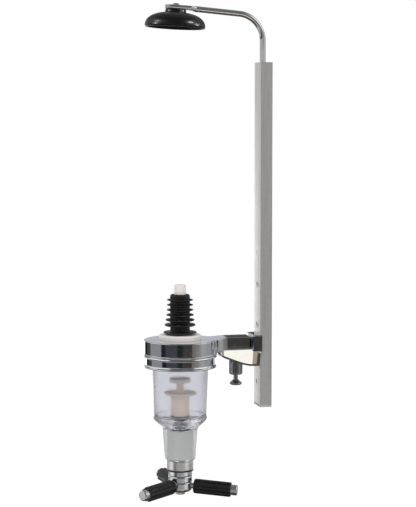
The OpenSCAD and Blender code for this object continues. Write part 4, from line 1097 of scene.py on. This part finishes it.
WALLS = (
    (-36, 3.0, 2.0, [
        (-180, 0.9), (-147, 0.25), (-70, (0.75, 0.72, 0.66)), (-42, (0.40, 0.36, 0.29)),
        (4, (1.15, 1.10, 0.98)), (40, 0.22),
    ]),
    (-24, 2.0, 2.0, [(-180, 1.3), (-147, 0.24), (-110, 0.45), (-60, 0.24), (-30, 0.4), (5, 0.3), (40, 0.24)]),
    (-14.2, 0.5, None, [
        (-180, 0.33), (-135, 0.33), (-115, 0.56), (-93, 0.85), (-80, 0.97), (-67, 0.67), (-56, 0.28),
        (-46, 0.10), (-36, 0.15), (-26, 0.29), (-10, 0.34), (10, 0.33), (30, 0.41), (41, 0.48), (52, 0.70),
        (63, 0.77), (74, 0.57), (87, 0.37), (100, 0.25), (117, 0.28), (138, 0.44), (180, 0.6),
    ]),
    (-10.4, 0.6, 1.2, [
        (-180, 0.15), (-172, 1.9), (-147, 0.01), (-128, 0.06), (-107, (0.26, 0.26, 0.275)),
        (-61, (0.012, 0.014, 0.025)), (-45, (0.05, 0.055, 0.065)), (-8, (0.012, 0.021, 0.016)),
        (10, (0.045, 0.042, 0.038)), (40, (0.17, 0.165, 0.15)), (52, (0.21, 0.205, 0.195)), (64, 0.28),
        (72, 0.35), (91, (0.31, 0.31, 0.33)), (128, 0.35), (150, 0.5),
    ]),
    (-1, 0.8, 4.0, [(-180, 0.55), (-100, 0.46), (60, 0.52), (112, 0.26), (160, 0.4)]),
    (3, 0.6, 3.0, [
        (-180, (0.56, 0.57, 0.63)), (-160, 0.7), (-110, 0.4), (0, 0.13), (50, 0.3), (66, 0.6), (110, 0.6),
        (150, (0.56, 0.57, 0.63)),
    ]),
    (16, 1.0, 4.0, [(-180, 0.28), (-125, 0.9), (-35, 0.13), (50, 0.6), (58, 1.0), (108, 0.4), (150, 0.28)]),
    (50, 10.0, 8.0, [(-180, 0.24), (-100, 0.14), (100, 0.24)]),
)
FAR_WALL_FOOT = 3
FAR_DARK_BOARD = (150.0, 179.7)


def build_world():
    world = bpy.data.worlds.new("Studio surround")
    scene.world = world
    world.use_nodes = True
    tree = world.node_tree
    s = Sheet(tree)
    background = tree.nodes["Background"]
    direction = s.node("ShaderNodeTexCoord").outputs["Generated"]
    part = s.node("ShaderNodeSeparateXYZ", Vector=direction).outputs
    turn = s.math("DEGREES", s.math("ARCTAN2", part["Y"], part["X"]))
    turn = s.math("SUBTRACT", turn, CAMERA_BEARING)
    bearing = s.math("WRAP", turn, 180.0)
    bearing.node.inputs[2].default_value = -180.0
    elevation = s.math("DEGREES", s.math("ARCSINE", part["Z"]))
    mottle = s.range(s.noise(direction, 90.0, 3.0, 0.6), 0.35, 0.65, 0.55, 1.2)
    mottle = s.node("ShaderNodeCombineXYZ", X=mottle, Y=mottle, Z=mottle).outputs[0]
    first, end = FAR_DARK_BOARD
    rising = s.range(bearing, first - 2, first, 0.0, 1.0)
    falling = s.range(bearing, end, end + 0.08, 1.0, 0.0)
    dark_board = s.math("MULTIPLY", rising, falling)
    room = (0.075, 0.062, 0.055, 1)
    for foot, softness, seam, stops in WALLS:
        wall = boards(s, bearing, stops, seam)
        if foot == FAR_WALL_FOOT:
            wall = s.mix(dark_board, s.mix(1.0, wall, mottle, "MULTIPLY"), (0.075, 0.08, 0.08, 1))
        room = s.mix(s.range(elevation, foot - softness, foot, 0.0, 1.0), room, wall)
    direct, glossy = seen_direct(s)
    colour = s.mix(glossy, (0.55, 0.55, 0.55, 1), room)
    colour = s.mix(direct, colour, (1, 1, 1, 1))
    s.wire(colour, background.inputs["Color"])
    background.inputs["Strength"].default_value = 1.0


FLOOR_Z = -0.30
FLOOR_HALF = 5


def build_floor():
    """Pale floor under the measure: white to the eye, with a share of plain surface that keeps the shadow."""
    material = bpy.data.materials.new("Studio floor")
    material.use_nodes = True
    tree = material.node_tree
    s = Sheet(tree)
    shader = tree.nodes["Principled BSDF"]
    shader.inputs["Base Color"].default_value = (0.92, 0.92, 0.92, 1)
    shader.inputs["Roughness"].default_value = 0.9
    direct = seen_direct(s)[0]
    glow = s.node("ShaderNodeEmission", Color=(1, 1, 1, 1), Strength=1.10)
    share = s.math("MULTIPLY", direct, 0.85)
    blend = s.node("ShaderNodeMixShader", i0=share, i1=shader.outputs[0], i2=glow.outputs[0])
    s.wire(blend.outputs[0], tree.nodes["Material Output"].inputs["Surface"])
    mesh = bpy.data.meshes.new("studio_floor")
    z, r = FLOOR_Z, FLOOR_HALF
    mesh.from_pydata([(-r, -r, z), (r, -r, z), (r, r, z), (-r, r, z)], [], [(0, 1, 2, 3)])
    mesh.materials.append(material)
    panel = bpy.data.objects.new("studio_floor", mesh)
    scene.collection.objects.link(panel)
    panel.visible_glossy = False


def soft_lamp(name, spot, target, size, power):
    data = bpy.data.lights.new(name, "AREA")
    data.shape = "DISK"
    data.size = size
    data.energy = power
    lamp = bpy.data.objects.new(name, data)
    scene.collection.objects.link(lamp)
    lamp.location = spot
    lamp.rotation_euler = (Vector(target) - Vector(spot)).to_track_quat("-Z", "Y").to_euler()
    lamp.visible_glossy = False
    return lamp


def cup_lamp(name, bearing, elevation, size, brightness):
    """Lamp a metre from the cup that lights the cup alone, for the soft spots in its gloss."""
    a = math.radians(bearing + CAMERA_BEARING)
    e = math.radians(elevation)
    aim = Vector((math.cos(a) * math.cos(e), math.sin(a) * math.cos(e), math.sin(e)))
    target = Vector(CUP.translation) * MM
    lamp = soft_lamp(name, target + aim, target, size, brightness * math.pi ** 2 * size * size / 4)
    lamp.visible_glossy = True
    lamp.visible_camera = False
    lamp.light_linking.receiver_collection = CUP_ALONE


CUP_ALONE = bpy.data.collections.new("cup_alone")
CUP_ALONE.objects.link(bpy.data.objects["bottle_cup_shell"])
cup_lamp("cup_left_lamp", -76, 30, 0.26, 16)
cup_lamp("cup_right_lamp", 70, 27, 0.22, 50)
cup_lamp("boss_left_lamp", -78, 8, 0.14, 60)
cup_lamp("boss_right_lamp", 94, 8, 0.14, 60)
build_world()
build_floor()
soft_lamp("key_lamp", (1.1, -1.2, 1.3), (0, -0.05, 0.05), 0.9, 12)
soft_lamp("fill_lamp", (0.9, 1.0, 0.8), (0, -0.05, 0.05), 1.0, 6)
soft_lamp("rear_lamp", (-1.2, -0.6, 0.9), (0, -0.05, 0.05), 0.9, 5)
